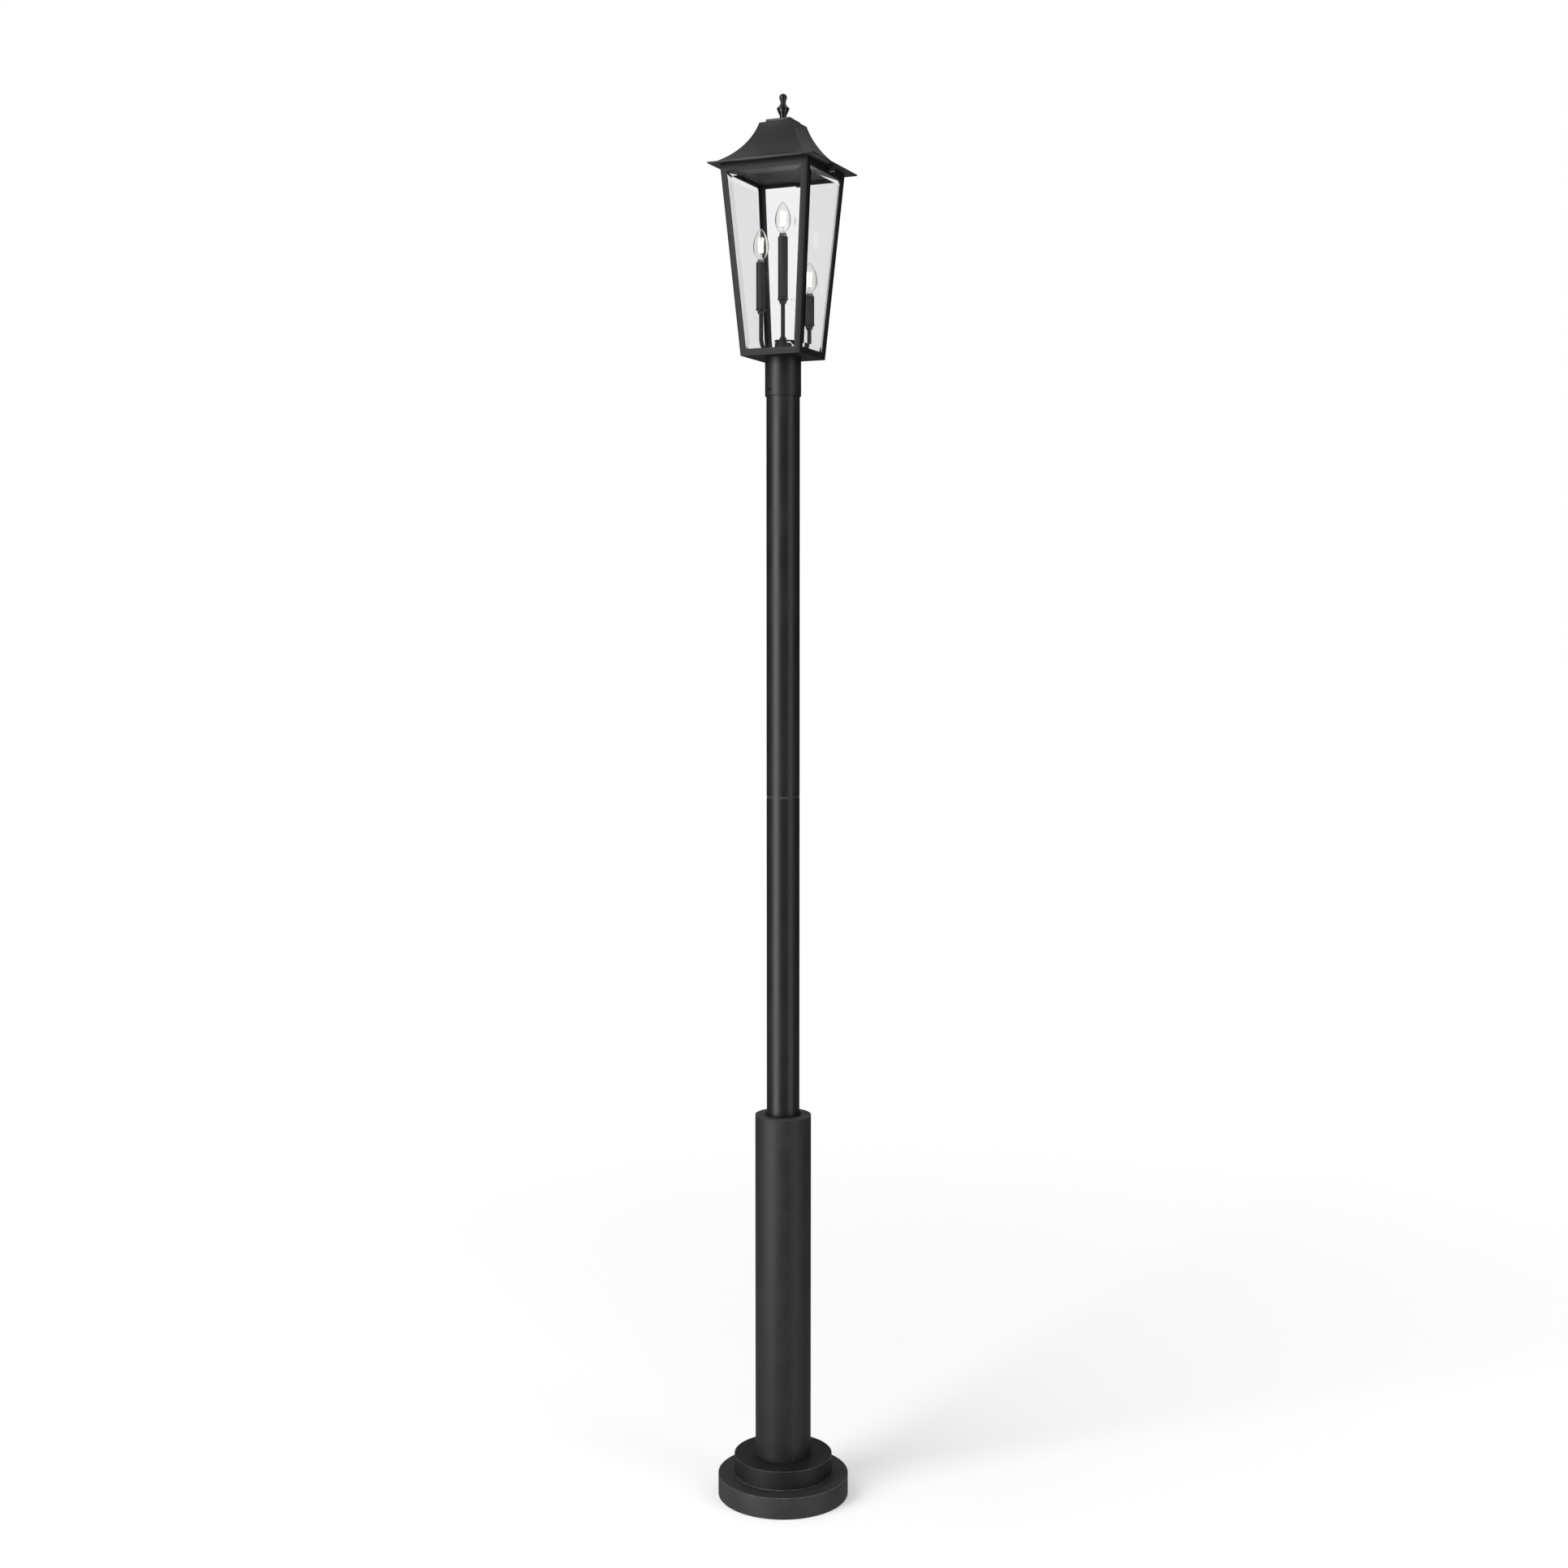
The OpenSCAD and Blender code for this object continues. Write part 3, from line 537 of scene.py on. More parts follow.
cap_low, cap_high = node_box("sleeve_cap")
cap_bore = pole_r + 0.4 * MM
cap_under = cap_high.z - CAP_T
skirt_r = sleeve_r - SLEEVE_WALL
place(
    lathe("sleeve_cap_plate", fillet([
        (cap_bore, cap_under, 0), (skirt_r - CAP_SKIRT, cap_under, 0),
        (skirt_r - CAP_SKIRT, cap_low.z, 0), (skirt_r, cap_low.z, 0),
        (skirt_r, cap_under, 0), (sleeve_r, cap_under, 0.1 * MM),
        (sleeve_r, cap_high.z, 0.5 * MM), (cap_bore, cap_high.z, 0.4 * MM),
    ]), steps=128),
    "post", CAP, "powder_coat", "sleeve_cap",
)

gasket_low, gasket_high = node_box("cap_gasket")
gasket_r = node_radius("cap_gasket")
place(
    lathe("pole_gasket", fillet([
        (pole_r, gasket_low.z, 0), (gasket_r, gasket_low.z, 0.5 * MM),
        (gasket_r - 0.4 * MM, gasket_high.z, 1.1 * MM), (pole_r, gasket_high.z, 0.2 * MM),
    ]), steps=128),
    "post", RUBBER, "rubber_black", "cap_gasket",
)

seam_low, seam_high = node_box("seam_ring")
groove = 0.9 * MM
place(
    lathe("pole_seam", fillet([
        (pole_bore, seam_low.z, 0), (pole_r - groove, seam_low.z, 0),
        (pole_r - groove, seam_low.z + 1 * MM, 0.2 * MM), (pole_r, seam_low.z + 1.6 * MM, 0.3 * MM),
        (pole_r, seam_high.z - 1.6 * MM, 0.3 * MM), (pole_r - groove, seam_high.z - 1 * MM, 0.2 * MM),
        (pole_r - groove, seam_high.z, 0), (pole_bore, seam_high.z, 0),
    ]), steps=128),
    "post", SEAM, "powder_coat", "seam_ring",
)


def screw(radius, inner, outer, z, angle):
    """Socket set screw that lies along a spoke of the pole, with a rounded rim and a hex recess."""
    steps = 24
    edge = 0.5 * MM
    depth = 2.4 * MM
    hex_reach = radius * 0.52   # from the middle of the recess to its sides
    loops = (
        (inner, radius, False), (outer - edge, radius, False), (outer, radius - edge, False),
        (outer, hex_reach, True), (outer - depth, hex_reach, True),
    )
    bm = bmesh.new()
    rings = []
    for x, reach, hexagon in loops:
        ring = []
        for k in range(steps):
            turn = 2 * math.pi * k / steps
            r = reach
            if hexagon:
                r /= math.cos((turn + math.pi / 6) % (math.pi / 3) - math.pi / 6)
            ring.append(bm.verts.new((x, r * math.cos(turn), r * math.sin(turn))))
        rings.append(ring)
    for low, high in zip(rings, rings[1:]):
        for k in range(steps):
            j = (k + 1) % steps
            bm.faces.new((low[k], low[j], high[j], high[k]))
    bm.faces.new(rings[0])
    bm.faces.new(list(reversed(rings[-1])))
    turn = Matrix.Rotation(math.radians(angle), 4, "Z")
    bmesh.ops.transform(bm, matrix=Matrix.Translation((0, 0, z)) @ turn, verts=bm.verts)
    return finish_mesh(bm, "screw")


def spoke_rod(radius, inner, outer, z, angle):
    """Plain rod along a spoke, used to cut a screw hole."""
    turn = Matrix.Rotation(math.radians(angle), 4, "Z")
    ends = [turn @ Vector((x, 0, z)) for x in (inner, outer)]
    return tube_along("cutter", ends, radius)


def screws(name, node, count, first_angle, wall_r, body, host, look):
    """Ring of set screws, each in its own hole in the wall of the piece that holds them."""
    low, high = node_box(node)
    z = (low.z + high.z) / 2
    radius = (high.z - low.z) / 2
    gap = 0.7 * MM
    parts = []
    for i in range(count):
        angle = first_angle + 360 / count * i
        cut(host, spoke_rod(radius + gap, wall_r - 3 * MM, wall_r + 5 * MM, z, angle))
        parts.append(screw(radius, wall_r - 5 * MM, wall_r + 1.2 * MM, z, angle))
    return place(join_meshes(name, parts), body, look, "steel", node)


screws("sleeve_foot_screws", "sleeve_screws", 4, SLEEVE_SCREW_TURN, sleeve_r, "post", sleeve, SCREW_PAINTED_HIGHLIGHT)


# ---------- lantern cage ----------

collar_r = node_radius("fitter_collar")
collar = upright_tube("lantern_collar", "fitter_collar", pole_r + 0.4 * MM, body="lantern",
                      top=0.3 * MM, foot=1.0 * MM)
screws("collar_set_screws", "collar_screws", 3, COLLAR_SCREW_TURN, collar_r, "lantern", collar, SCREW)

lantern_z = node_box("bottom_plate")[0].z
rail_low, rail_high = node_box("bottom_frame")
head_low, head_high = node_box("top_frame")
rail_h = rail_high.z - rail_low.z
cage_h = head_high.z - lantern_z
head_half = (head_high.y - head_low.y) / 2
lean = (head_half - (rail_high.y - rail_low.y) / 2) / (cage_h - rail_h)


def half(h):
    """Half the width of the cage at a height above its underside."""
    return head_half - lean * (cage_h - h)


def cage_frame():
    """The whole welded cage: four leaning sides, each a rim round a window, two millimetres thick."""
    bm = bmesh.new()
    window_low, window_high = rail_h, cage_h - RAIL_TOP
    levels = (0, window_low, window_high, cage_h)
    made = {}

    def vert(key, x, y, h):
        if key not in made:
            made[key] = bm.verts.new((x, y, lantern_z + h))
        return made[key]

    def column(side, level, across, inset):
        """Corner or window edge of a side, turned into its place; neighbouring sides share a corner."""
        h = levels[level]
        w = half(h)
        along = (-(w - inset), -(w - FLANGE), w - FLANGE, w - inset)[across]
        spot = Matrix.Rotation(math.radians(90 * side), 4, "Z") @ Vector((along, -(w - inset), 0))
        if across in (0, 3):
            corner = side if across == 0 else (side + 1) % 4
            return vert(("corner", corner, level, inset), spot.x, spot.y, h)
        return vert((side, level, across, inset), spot.x, spot.y, h)

    for side in range(4):
        for inset in (0, METAL):
            for level in range(3):
                for k in range(3):
                    if level == 1 and k == 1:
                        continue
                    bm.faces.new([
                        column(side, level, k, inset), column(side, level, k + 1, inset),
                        column(side, level + 1, k + 1, inset), column(side, level + 1, k, inset),
                    ])
        reveal = [(1, 1), (1, 2), (2, 2), (2, 1)]
        for (l0, k0), (l1, k1) in zip(reveal, reveal[1:] + reveal[:1]):
            bm.faces.new([
                column(side, l0, k0, 0), column(side, l1, k1, 0),
                column(side, l1, k1, METAL), column(side, l0, k0, METAL),
            ])
        for level in (0, 3):
            for k in range(3):
                bm.faces.new([
                    column(side, level, k, 0), column(side, level, k + 1, 0),
                    column(side, level, k + 1, METAL), column(side, level, k, METAL),
                ])
    bmesh.ops.recalc_face_normals(bm, faces=bm.faces)
    bevel_sharp(bm, 0.45 * MM)
    return finish_mesh(bm, "cage_frame")


place(
    cage_frame(), "lantern", CAGE, "powder_coat", "bottom_frame", "top_frame",
    "post_front_right", "post_back_right", "post_back_left", "post_front_left",
)


def roof_ear():
    """Lug on the right rail that the roof is screwed down on."""
    nut_low, nut_high = node_box("thumb_nut")
    nut_x = (nut_low.x + nut_high.x) / 2
    root_x = half(cage_h) - METAL
    shoulder_x = nut_x - 4 * MM
    tip = [(nut_x + EAR_TIP_R * math.cos(a), EAR_TIP_R * math.sin(a))
           for a in [math.radians(-90 + 15 * k) for k in range(13)]]
    outline = [(root_x, -EAR_HALF), (shoulder_x, -EAR_HALF), *tip,
               (shoulder_x, EAR_HALF), (root_x, EAR_HALF)]
    return prism(
        "roof_ear", outline, head_high.z - METAL, head_high.z, 0.25 * MM,
        holes=[circle_points(nut_x, 0, EAR_HOLE_R)],
    )


place(roof_ear(), "lantern", BLACK, "powder_coat")


def glass_pane(side):
    """Leaning pane whose outer face is ground down to a thin edge in a broad, mitred bevel."""
    low, high = node_box("glass_" + SIDES[side])
    window = (rail_h, cage_h - RAIL_TOP)
    outline = (low.z - lantern_z, high.z - lantern_z)
    back = METAL + GLASS
    rims = {
        "flat": (window[0] + PANE_BEVEL, window[1] - PANE_BEVEL, FLANGE + PANE_BEVEL, METAL),
        "foot": (*window, FLANGE, back - PANE_RIM),
        "edge": (*outline, PANE_EDGE, back - PANE_RIM),
        "back": (*outline, PANE_EDGE, back),
    }
    bm = bmesh.new()
    loops = {}
    for key, (low_h, high_h, inset, depth) in rims.items():
        loops[key] = [
            bm.verts.new((sign * (half(h) - inset), depth - half(h), lantern_z + h))
            for sign, h in ((-1, low_h), (1, low_h), (1, high_h), (-1, high_h))
        ]
    for first, second in (("flat", "foot"), ("foot", "edge"), ("edge", "back")):
        for i in range(4):
            j = (i + 1) % 4
            bm.faces.new((loops[first][i], loops[first][j], loops[second][j], loops[second][i]))
    bm.faces.new(loops["flat"])
    bm.faces.new(loops["back"])
    turn = Matrix.Rotation(math.radians(90 * side), 4, "Z")
    bmesh.ops.transform(bm, matrix=turn, verts=bm.verts)
    return finish_mesh(bm, "pane_" + SIDES[side], 3)


panes = [
    place(glass_pane(side), "lantern", PANE, "pane_glass", "glass_" + SIDES[side])
    for side in range(4)
]


# ---------- lamps ----------

def centre_of(node):
    low, high = node_box(node)
    return (low.x + high.x) / 2, (low.y + high.y) / 2


body_low, body_high = node_box("cluster_body")
cluster_r = node_radius("cluster_body")
place(
    lathe("lamp_cluster", fillet([
        (0, body_low.z, 0), (cluster_r, body_low.z, 0.4 * MM),
        (cluster_r, body_high.z, 1.4 * MM), (0, body_high.z, 0),
    ])),
    "lantern", BLACK, "powder_coat", "cluster_body",
)

nut_low, nut_high = node_box("cluster_nut")
hexagon = circle_points(0, 0, (nut_high.x - nut_low.x) / 2, 6)
place(prism("cluster_hex_nut", hexagon, nut_low.z, nut_high.z, 0.7 * MM),
      "lantern", BLACK, "powder_coat", "cluster_nut")

stem_low, stem_high = node_box("stem_centre")
arm_r = (stem_high.x - stem_low.x) / 2
place(
    lathe("centre_stem", fillet([
        (0, stem_low.z, 0), (arm_r, stem_low.z, 0), (arm_r, stem_high.z, 0), (0, stem_high.z, 0),
    ]), steps=48),
    "lantern", BLACK, "powder_coat", "stem_centre",
)


def side_arm(word):
    """Arm that leaves the cluster level, bends up and carries a cup."""
    x, y = centre_of("cup_" + word)
    reach = math.hypot(x, y)
    out = Vector((x, y, 0)).normalized()
    level = lantern_z + ARM_LEVEL
    top = node_box("cup_" + word)[0].z
    path = [out * (cluster_r - 6 * MM) + Vector((0, 0, level)),
            out * (reach - ARM_BEND) + Vector((0, 0, level))]
    for k in range(1, 13):
        a = math.radians(90 * k / 12)
        run = reach - ARM_BEND + ARM_BEND * math.sin(a)
        path.append(out * run + Vector((0, 0, level + ARM_BEND * (1 - math.cos(a)))))
    path.append(out * reach + Vector((0, 0, top)))
    return tube_along("arm_tube_" + word, path, arm_r, 32)


for word in ("left", "right"):
    place(side_arm(word), "lantern", BLACK, "powder_coat", "arm_" + word)


def lamp_cup(word):
    """Turned cup: a bead on the arm, a rounded bowl, a neck and a flat ring."""
    low, high = node_box("cup_" + word)
    z = low.z
    ring = (high.x - low.x) / 2
    neck = arm_r + 3.4 * MM
    outline = fillet([
        (0, z, 0), (arm_r + 0.6 * MM, z, 0.3 * MM), (arm_r + 1.8 * MM, z + 1.2 * MM, 0.6 * MM),
        (neck, z + 4 * MM, 1.5 * MM), (neck + 0.6 * MM, z + 7 * MM, 1.2 * MM),
        (neck, z + 8.6 * MM, 0.4 * MM), (ring, z + 9.4 * MM, 0.8 * MM),
        (ring, z + CUP_H, 0.8 * MM), (arm_r, z + CUP_H, 0), (arm_r, high.z, 0), (0, high.z, 0),
    ])
    return lathe("lamp_cup_" + word, outline, centre_of("cup_" + word), 64)


def candle_tube(word):
    low, high = node_box("candle_" + word)
    outer = (high.x - low.x) / 2
    outline = ring_outline(outer - 1.8 * MM, outer, low.z, high.z, 0.7 * MM, 0.3 * MM)
    return lathe("candle_tube_" + word, outline, centre_of("candle_" + word), 64)


def lamp_socket(word):
    """Moulded socket body below the rim of the candle tube."""
    low, high = node_box("socket_" + word)
    outer = (high.x - low.x) / 2
    rim = high.z - CROWN_H
    outline = fillet([
        (0, low.z, 0), (outer, low.z, 0.6 * MM), (outer, rim, 0.4 * MM),
        (BASE_R + 0.4 * MM, rim, 0), (BASE_R + 0.4 * MM, low.z + 4 * MM, 0), (0, low.z + 4 * MM, 0),
    ])
    return lathe("lamp_socket_" + word, outline, centre_of("socket_" + word), 48)


def socket_crown(word):
    """Plated shell at the mouth of the socket: upright fingers between narrow slots."""
    low, high = node_box("socket_" + word)
    x0, y0 = centre_of("socket_" + word)
    outer = (high.x - low.x) / 2
    inner = outer - 0.9 * MM
    fingers = 8
    bm = bmesh.new()
    for f in range(fingers):
        angles = [2 * math.pi * (f + 0.12 + 0.76 * k / 6) / fingers for k in range(7)]
        rings = []
        for z, lip in ((high.z - CROWN_H, 0), (high.z - 1.5 * MM, 0), (high.z, -0.5 * MM)):
            ring = [(outer + lip, a) for a in angles] + [(inner + lip, a) for a in reversed(angles)]
            rings.append([
                bm.verts.new((x0 + r * math.cos(a), y0 + r * math.sin(a), z)) for r, a in ring
            ])
        for a, b in zip(rings, rings[1:]):
            for k in range(len(a)):
                j = (k + 1) % len(a)
                bm.faces.new((a[k], a[j], b[j], b[k]))
        bm.faces.new(rings[0])
        bm.faces.new(rings[-1])
    return finish_mesh(bm, "socket_crown_" + word)


def bulb_radius(t, inset, full, cap_r):
    """Radius of the torpedo bulb at a share t of its height."""
    curve = (full - inset) * math.sin(math.pi * t ** 0.8) ** 0.66 if 0 < t < 1 else 0.0
    return max(curve, cap_r - inset if t < 0.5 else 0.0)


def bulb_glass(word):
    """Thin blown envelope with an inner and an outer wall."""
    low, high = node_box("bulb_glass_" + word)
    full = (high.x - low.x) / 2
    tall = high.z - low.z
    steps = 44
    spots = [0.5 - 0.5 * math.cos(math.pi * i / steps) for i in range(steps + 1)]
    outer = [(bulb_radius(t, 0, full, BASE_R), low.z + tall * t) for t in spots]
    inner = [(bulb_radius(t, BULB_WALL, full, BASE_R), low.z + (tall - BULB_WALL) * t)
             for t in reversed(spots)]
    return lathe("bulb_envelope_" + word, outer + inner, centre_of("bulb_glass_" + word), 72, 50)


def bulb_cap(word):
    """Plated screw cap with a rolled thread and a solder tip."""
    low, high = node_box("bulb_base_" + word)
    outer = (high.x - low.x) / 2
    outline = [(0, low.z), (2.4 * MM, low.z), (2.6 * MM, low.z + 1 * MM),
               (outer - 1.4 * MM, low.z + 2.6 * MM)]
    turns = 5
    span = (high.z - low.z - 5 * MM) / turns
    for i in range(turns * 8 + 1):
        wave = math.cos(2 * math.pi * i / 8)
        outline.append((outer - 0.35 * MM * (1 + wave), low.z + 3 * MM + span * i / 8))
    outline += [(outer, high.z - 1 * MM), (outer, high.z), (0, high.z)]
    return lathe("bulb_cap_" + word, outline, centre_of("bulb_base_" + word), 48, 60)


def wire(*points):
    return tube_along("wire", [Vector(p) for p in points], WIRE_R, 8)


def bulb_inside(word):
    """Pieces inside a bulb: filament sticks, the glass stem that holds them and fine wires."""
    z = node_box("filament_" + word)[0].z
    x0, y0 = centre_of("filament_" + word)
    stick_low, stick_high = z + 16 * MM, z + 48 * MM
    joint_low = Vector((x0, y0, z + 12 * MM))
    sticks, wires = [], []
    for k in range(STICKS):
        a = math.radians(360 / STICKS * k + 20)
        way = Vector((math.cos(a), math.sin(a), 0))
        foot = Vector((x0, y0, stick_low)) + way * STICK_FOOT_R
        head = Vector((x0, y0, stick_high)) + way * STICK_HEAD_R
        lean_way = (head - foot).normalized()
        sticks.append(tube_along("stick", [foot, head], STICK_R, 12))
        wires.append(wire(foot, foot - lean_way * 1.5 * MM, joint_low))
        wires.append(wire(head, head + lean_way * 1.2 * MM, (x0, y0, stick_high + 0.6 * MM)))
    stem = lathe("bulb_stem_" + word, fillet([
        (0, z + 0.2 * MM, 0), (4.6 * MM, z + 0.2 * MM, 0.4 * MM), (3.4 * MM, z + 4 * MM, 2 * MM),
        (1.7 * MM, z + 9 * MM, 2 * MM), (1.5 * MM, z + 13 * MM, 0.6 * MM), (0, z + 13.4 * MM, 0),
    ]), (x0, y0), 32)
    rod = tube_along("rod", [joint_low, Vector((x0, y0, stick_high + 0.8 * MM))], 0.5 * MM, 10)
    all_sticks = join_meshes("filament_sticks_" + word, sticks)
    return all_sticks, stem, join_meshes("filament_wires_" + word, [*wires, rod])


for word in ("centre", "left", "right"):
    bulb = "bulb_" + word
    place(lamp_cup(word), "lantern", BLACK, "powder_coat", "cup_" + word)
    place(candle_tube(word), "lantern", CANDLE, "candle_black", "candle_" + word)
    place(lamp_socket(word), "lantern", PHENOLIC, "socket_black", "socket_" + word)
    place(socket_crown(word), "lantern", NICKEL, "nickel")
    place(bulb_glass(word), bulb, BULB, "bulb_glass", "bulb_glass_" + word)
    place(bulb_cap(word), bulb, NICKEL, "nickel", "bulb_base_" + word)
    sticks, stem, wires = bulb_inside(word)
    place(sticks, bulb, GLOW, "filament_glow", "filament_" + word)
    place(stem, bulb, STEM, "bulb_glass")
    place(wires, bulb, NICKEL, "nickel")


# ---------- roof ----------

brim_low, brim_high = node_box("roof_brim")
brim_half = (brim_high.x - brim_low.x) / 2
place(
    prism("roof_brim_sheet", square_points(brim_half), brim_low.z, brim_high.z, 0.9 * MM,
          holes=[square_points(BRIM_OPENING / 2)]),
    "roof", BLACK, "powder_coat", "roof_brim",
)


def roof_profile(steps=26):
    """Half widths and heights of the roof: an upright lip, the hollow curve and the flat top."""
    low, high = node_box("roof_shell")
    foot = (high.x - low.x) / 2
    height = high.z - low.z
    start = math.radians(ROOF_FOOT_ANGLE)
    centre_x = foot + ROOF_CURVE * math.sin(start)
    centre_z = ROOF_LIP + ROOF_CURVE * math.cos(start)
    end = math.acos((centre_z - height) / ROOF_CURVE)
    points = [(foot, 0.0)]
    for k in range(steps + 1):
        a = start + (end - start) * k / steps
        points.append((centre_x - ROOF_CURVE * math.sin(a), centre_z - ROOF_CURVE * math.cos(a)))
    return points, low.z


def roof_shell():
    """Sheet roof: four hollow-curved faces that meet on crisp hips, with a flat top."""
    points, z0 = roof_profile()
    bm = bmesh.new()
    rings = [[bm.verts.new((x, y, z0 + z)) for x, y in square_points(w)] for w, z in points]
    for low, high in zip(rings, rings[1:]):
        for k in range(4):
            j = (k + 1) % 4
            bm.faces.new((low[k], low[j], high[j], high[k]))
    bm.faces.new(rings[-1])
    bmesh.ops.recalc_face_normals(bm, faces=bm.faces)
    obj = finish_mesh(bm, "roof_sheet", 25)
    wall = obj.modifiers.new("wall", "SOLIDIFY")
    wall.thickness = ROOF_SHEET
    wall.offset = -1
    wall.use_even_offset = True
    rim = obj.modifiers.new("rim", "BEVEL")
    rim.width = 0.6 * MM
    rim.segments = 2
    rim.limit_method = "ANGLE"
    rim.angle_limit = math.radians(25)
    apply_modifiers(obj)
    obj.data.set_sharp_from_angle(angle=math.radians(25))
    return obj


place(roof_shell(), "roof", BLACK, "powder_coat", "roof_shell")

lid_low, lid_high = node_box("roof_cap")
place(
    prism("roof_cap_lid", square_points((lid_high.x - lid_low.x) / 2), lid_low.z, lid_high.z, 0.8 * MM),
    "roof", BLACK, "powder_coat", "roof_cap",
)


def finial_piece():
    """Turned finial: foot bead, cup, flange, hollow shoulder, bead and ball."""
    low, high = node_box("finial")
    flange = (high.x - low.x) / 2
    z = low.z
    tall = high.z - low.z
    ball_r = 8.8 * MM
    ball_z = tall - ball_r
    neck = 6 * MM
    outline = [(0, 0), (8.0 * MM, 0), (8.6 * MM, 0.3 * MM), (8.8 * MM, 1.0 * MM),
               (8.8 * MM, 2.4 * MM), (8.4 * MM, 3.2 * MM), (7.8 * MM, 3.8 * MM), (7.6 * MM, 5.4 * MM)]
    for k in range(21):
        t = k / 20
        outline.append((
            7.8 * MM + 2.65 * MM * (1 - math.cos(math.pi * t)), 9 * MM + 15.5 * MM * t,
        ))
    outline += [(flange - 0.5 * MM, 25.0 * MM), (flange, 25.5 * MM), (flange, 26.5 * MM),
                (flange - 0.4 * MM, 27.2 * MM)]
    for k in range(19):
        t = k / 18
        outline.append((neck + 7.6 * MM * (1 - t) ** 1.7, 27.7 * MM + 11 * MM * t))
    outline.append((neck, 40.4 * MM))
    for k in range(9):
        a = math.pi * k / 8
        outline.append((neck + 0.9 * MM * math.sin(a), 40.8 * MM + 3.2 * MM * k / 8))
    for k in range(25):
        a = math.radians(-47 + 137 * k / 24)
        outline.append((ball_r * math.cos(a) if k < 24 else 0, ball_z + ball_r * math.sin(a)))
    outline = [(r, z + h) for r, h in outline]
    return lathe("finial_turned", outline, steps=72, smooth_angle=50)


place(finial_piece(), "finial", SATIN, "powder_coat", "finial")


def thumb_nut():
    """Knurled thumb nut: plain rim below, straight knurl, chamfered shoulder above."""
    low, high = node_box("thumb_nut")
    x0, y0 = centre_of("thumb_nut")
    rim = (high.x - low.x) / 2
    grip = rim - 0.8 * MM
    bore = 3 * MM
    tooth = 0.45 * MM
    count = 24 * 4              # four corners to each tooth
    z = low.z
    top = high.z
    bands = [
        (bore, z, 0), (rim - 0.4 * MM, z, 0), (rim, z + 0.4 * MM, 0), (rim, z + 2.1 * MM, 0),
        (rim - 0.4 * MM, z + 2.5 * MM, 0), (grip - 0.4 * MM, z + 2.7 * MM, 0),
        (grip, z + 3.1 * MM, 1), (grip, top - 2.1 * MM, 1), (grip - 0.4 * MM, top - 1.6 * MM, 0),
        (grip - 1 * MM, top - 1.4 * MM, 0), (grip - 1 * MM, top, 0), (bore, top, 0),
    ]
    bm = bmesh.new()
    rings = []
    for radius, height, knurled in bands:
        ring = []
        for k in range(count):
            a = 2 * math.pi * k / count
            r = radius - knurled * tooth * (k % 4 in (2, 3))
            ring.append(bm.verts.new((x0 + r * math.cos(a), y0 + r * math.sin(a), height)))
        rings.append(ring)
    for i, ring in enumerate(rings):
        after = rings[(i + 1) % len(rings)]
        for k in range(count):
            j = (k + 1) % count
            bm.faces.new((ring[k], ring[j], after[j], after[k]))
    return finish_mesh(bm, "thumb_nut_knurled", 25)


place(thumb_nut(), "thumb_nut", BLACK, "powder_coat", "thumb_nut")


# ---------- studio ----------

CAMERA_AZIMUTH = 24.0       # degrees from -Y towards +X
CAMERA_DISTANCE = 4.68
CAMERA_HEIGHT = 2.031
CAMERA_PITCH = -4.35        # degrees, as is the yaw
CAMERA_YAW = -0.025
LENS = 46.9                 # millimetres
FLOOR_R = 90.0


def around(azimuth, distance, height):
    """Point at an azimuth from -Y towards +X."""
    a = math.radians(azimuth)
    return Vector((distance * math.sin(a), -distance * math.cos(a), height))


def look_at(obj, target):
    obj.rotation_euler = (target - obj.location).to_track_quat("-Z", "Y").to_euler()


camera_data = bpy.data.cameras.new("camera")
camera_data.lens = LENS
camera_data.sensor_width = 36
camera_data.clip_end = 200
camera = bpy.data.objects.new("camera", camera_data)
camera.location = around(CAMERA_AZIMUTH, CAMERA_DISTANCE, CAMERA_HEIGHT)
camera.rotation_euler = (math.radians(90 + CAMERA_PITCH), 0, math.radians(CAMERA_AZIMUTH + CAMERA_YAW))
bpy.context.collection.objects.link(camera)
bpy.context.scene.camera = camera


def softbox(name, azimuth, distance, height, width, tall, radiance, aim_height):
    """Large rectangular light; its power follows from how bright its face is to be."""
    data = bpy.data.lights.new(name, "AREA")
    data.shape = "RECTANGLE"
    data.size = width
    data.size_y = tall
    data.energy = radiance * math.pi * width * tall
    light = bpy.data.objects.new(name, data)
    light.location = around(azimuth, distance, height)
    look_at(light, Vector((0, 0, aim_height)))
    light.visible_camera = False
    bpy.context.collection.objects.link(light)
    return light


key = softbox(
    "key_left", CAMERA_AZIMUTH - 51, distance=3.4, height=2.75, width=2.0, tall=6.9, radiance=4.4,
    aim_height=2.75,
)
softbox(
    "fill_right", CAMERA_AZIMUTH + 54, distance=3.4, height=1.2, width=1.6, tall=6.4, radiance=1.6,
    aim_height=1.2,
)

# The panes don't mirror the key light
unlit = bpy.data.collections.new("no_key_light")
for pane in panes:
    unlit.objects.link(pane)
key.light_linking.receiver_collection = unlit
for member in unlit.collection_objects:
    member.light_linking.link_state = "EXCLUDE"


def straight_view(nodes, links):
    """1 for rays that come from the camera directly or through glass alone, otherwise 0."""
    ray = nodes.new("ShaderNodeLightPath").outputs
    bounces = maths(nodes, links, "ADD", ray["Diffuse Depth"], ray["Glossy Depth"])
    unbounced = maths(nodes, links, "LESS_THAN", bounces, 0.5)
    through = maths(nodes, links, "MULTIPLY", ray["Is Transmission Ray"], unbounced)
    return maths(nodes, links, "MAXIMUM", ray["Is Camera Ray"], through)


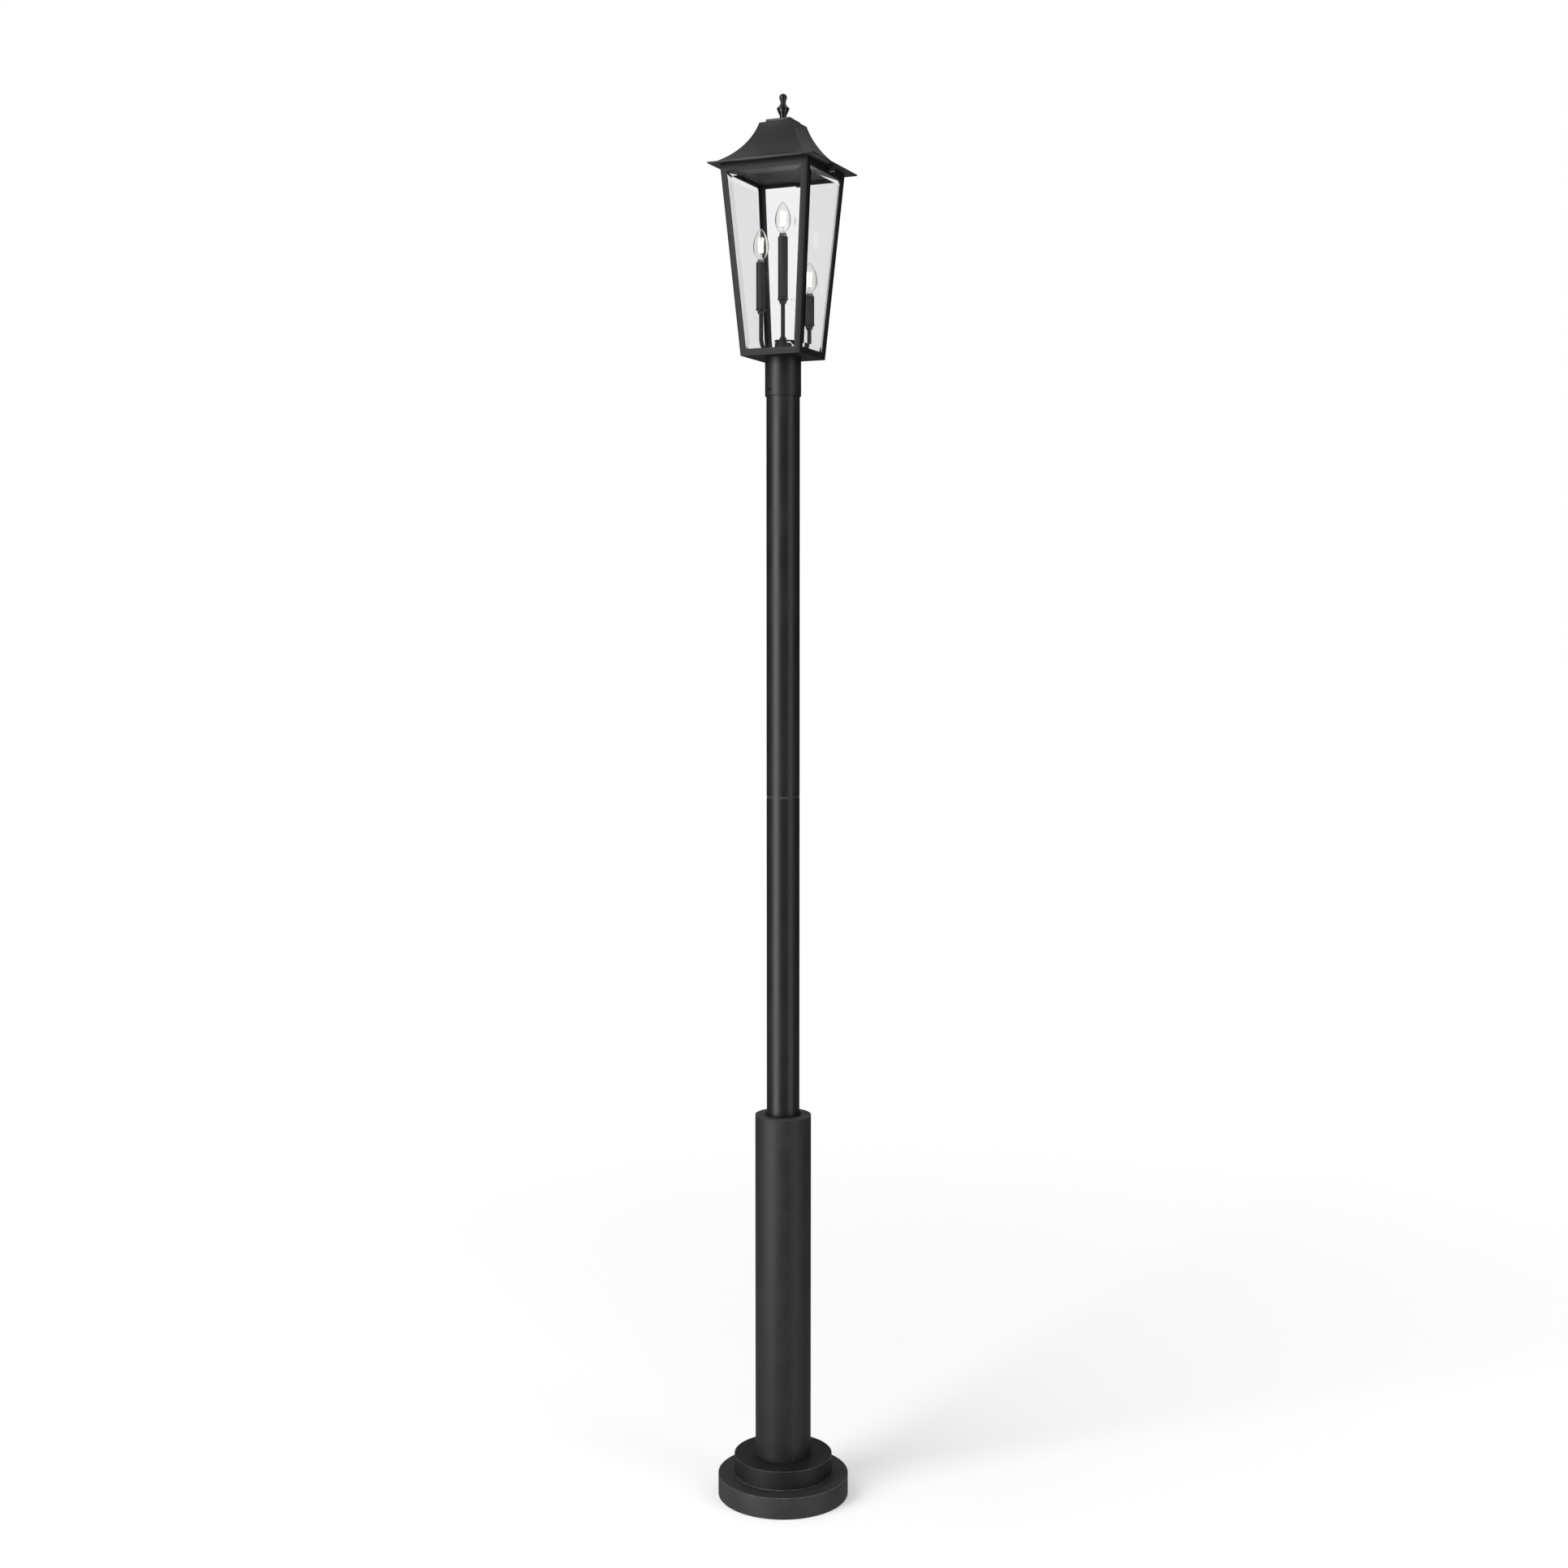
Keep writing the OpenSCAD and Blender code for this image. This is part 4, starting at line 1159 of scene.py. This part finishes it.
floor_mesh = bmesh.new()
bmesh.ops.create_circle(floor_mesh, cap_ends=True, segments=96, radius=FLOOR_R)
floor = finish_mesh(floor_mesh, "floor")
floor.location.z = cad_low[2] - 0.5 * MM
floor_look, floor_nodes, floor_links, floor_shader = new_material("studio_floor")
floor_coords = floor_nodes.new("ShaderNodeTexCoord").outputs["Object"]
floor_tone = mix_colours(
    floor_nodes, floor_links, noise_node(floor_nodes, floor_links, floor_coords, 0.7),
    (0.93, 0.93, 0.93), (0.95, 0.95, 0.95),
)
floor_links.new(floor_tone, floor_shader.inputs["Base Color"])
floor_shader.inputs["Roughness"].default_value = 0.9
floor_shader.inputs["Specular IOR Level"].default_value = 0.1
# A pale glow that grows with the distance makes the floor run into the white backdrop
floor_span = floor_nodes.new("ShaderNodeVectorMath")
floor_span.operation = "LENGTH"
floor_links.new(floor_coords, floor_span.inputs[0])
floor_glow = remap(floor_nodes, floor_links, floor_span.outputs["Value"], 0.3, 0.65, 0.5, 5.0)
floor_links.new(floor_glow, floor_shader.inputs["Emission Strength"])
floor_shader.inputs["Emission Color"].default_value = (1, 1, 1, 1)
floor.data.materials.append(floor_look)
# The floor takes shadows, but neither lights the lantern nor shows in its gloss
floor.visible_diffuse = False
floor.visible_glossy = False
floor.visible_shadow = False


def studio_world():
    """White backdrop; the light itself comes from above and a little from below, not from the horizon."""
    world = bpy.data.worlds.new("studio")
    world.use_nodes = True
    bpy.context.scene.world = world
    nodes, links = world.node_tree.nodes, world.node_tree.links
    nodes.clear()
    direction = nodes.new("ShaderNodeTexCoord").outputs["Generated"]
    axes = nodes.new("ShaderNodeSeparateXYZ")
    links.new(direction, axes.inputs[0])
    ramp = nodes.new("ShaderNodeValToRGB")
    ramp.color_ramp.interpolation = "EASE"
    levels = ((0.3, 0.3), (0.45, 0.02), (0.55, 0.02), (0.9, 0.5))
    while len(ramp.color_ramp.elements) < len(levels):
        ramp.color_ramp.elements.new(0.5)
    for element, (position, tone) in zip(ramp.color_ramp.elements, levels):
        element.position = position
        element.color = (tone, tone, tone, 1)
    links.new(remap(nodes, links, axes.outputs["Z"], 0.0, 1.0, -1.0, 1.0), ramp.inputs["Fac"])
    ceiling = nodes.new("ShaderNodeBackground")
    links.new(ramp.outputs["Color"], ceiling.inputs["Color"])
    backdrop = nodes.new("ShaderNodeBackground")
    backdrop.inputs["Color"].default_value = (1, 1, 1, 1)
    mix = nodes.new("ShaderNodeMixShader")
    links.new(straight_view(nodes, links), mix.inputs[0])
    links.new(ceiling.outputs[0], mix.inputs[1])
    links.new(backdrop.outputs[0], mix.inputs[2])
    output = nodes.new("ShaderNodeOutputWorld")
    links.new(mix.outputs[0], output.inputs["Surface"])


studio_world()
bpy.context.scene.view_settings.view_transform = "Standard"
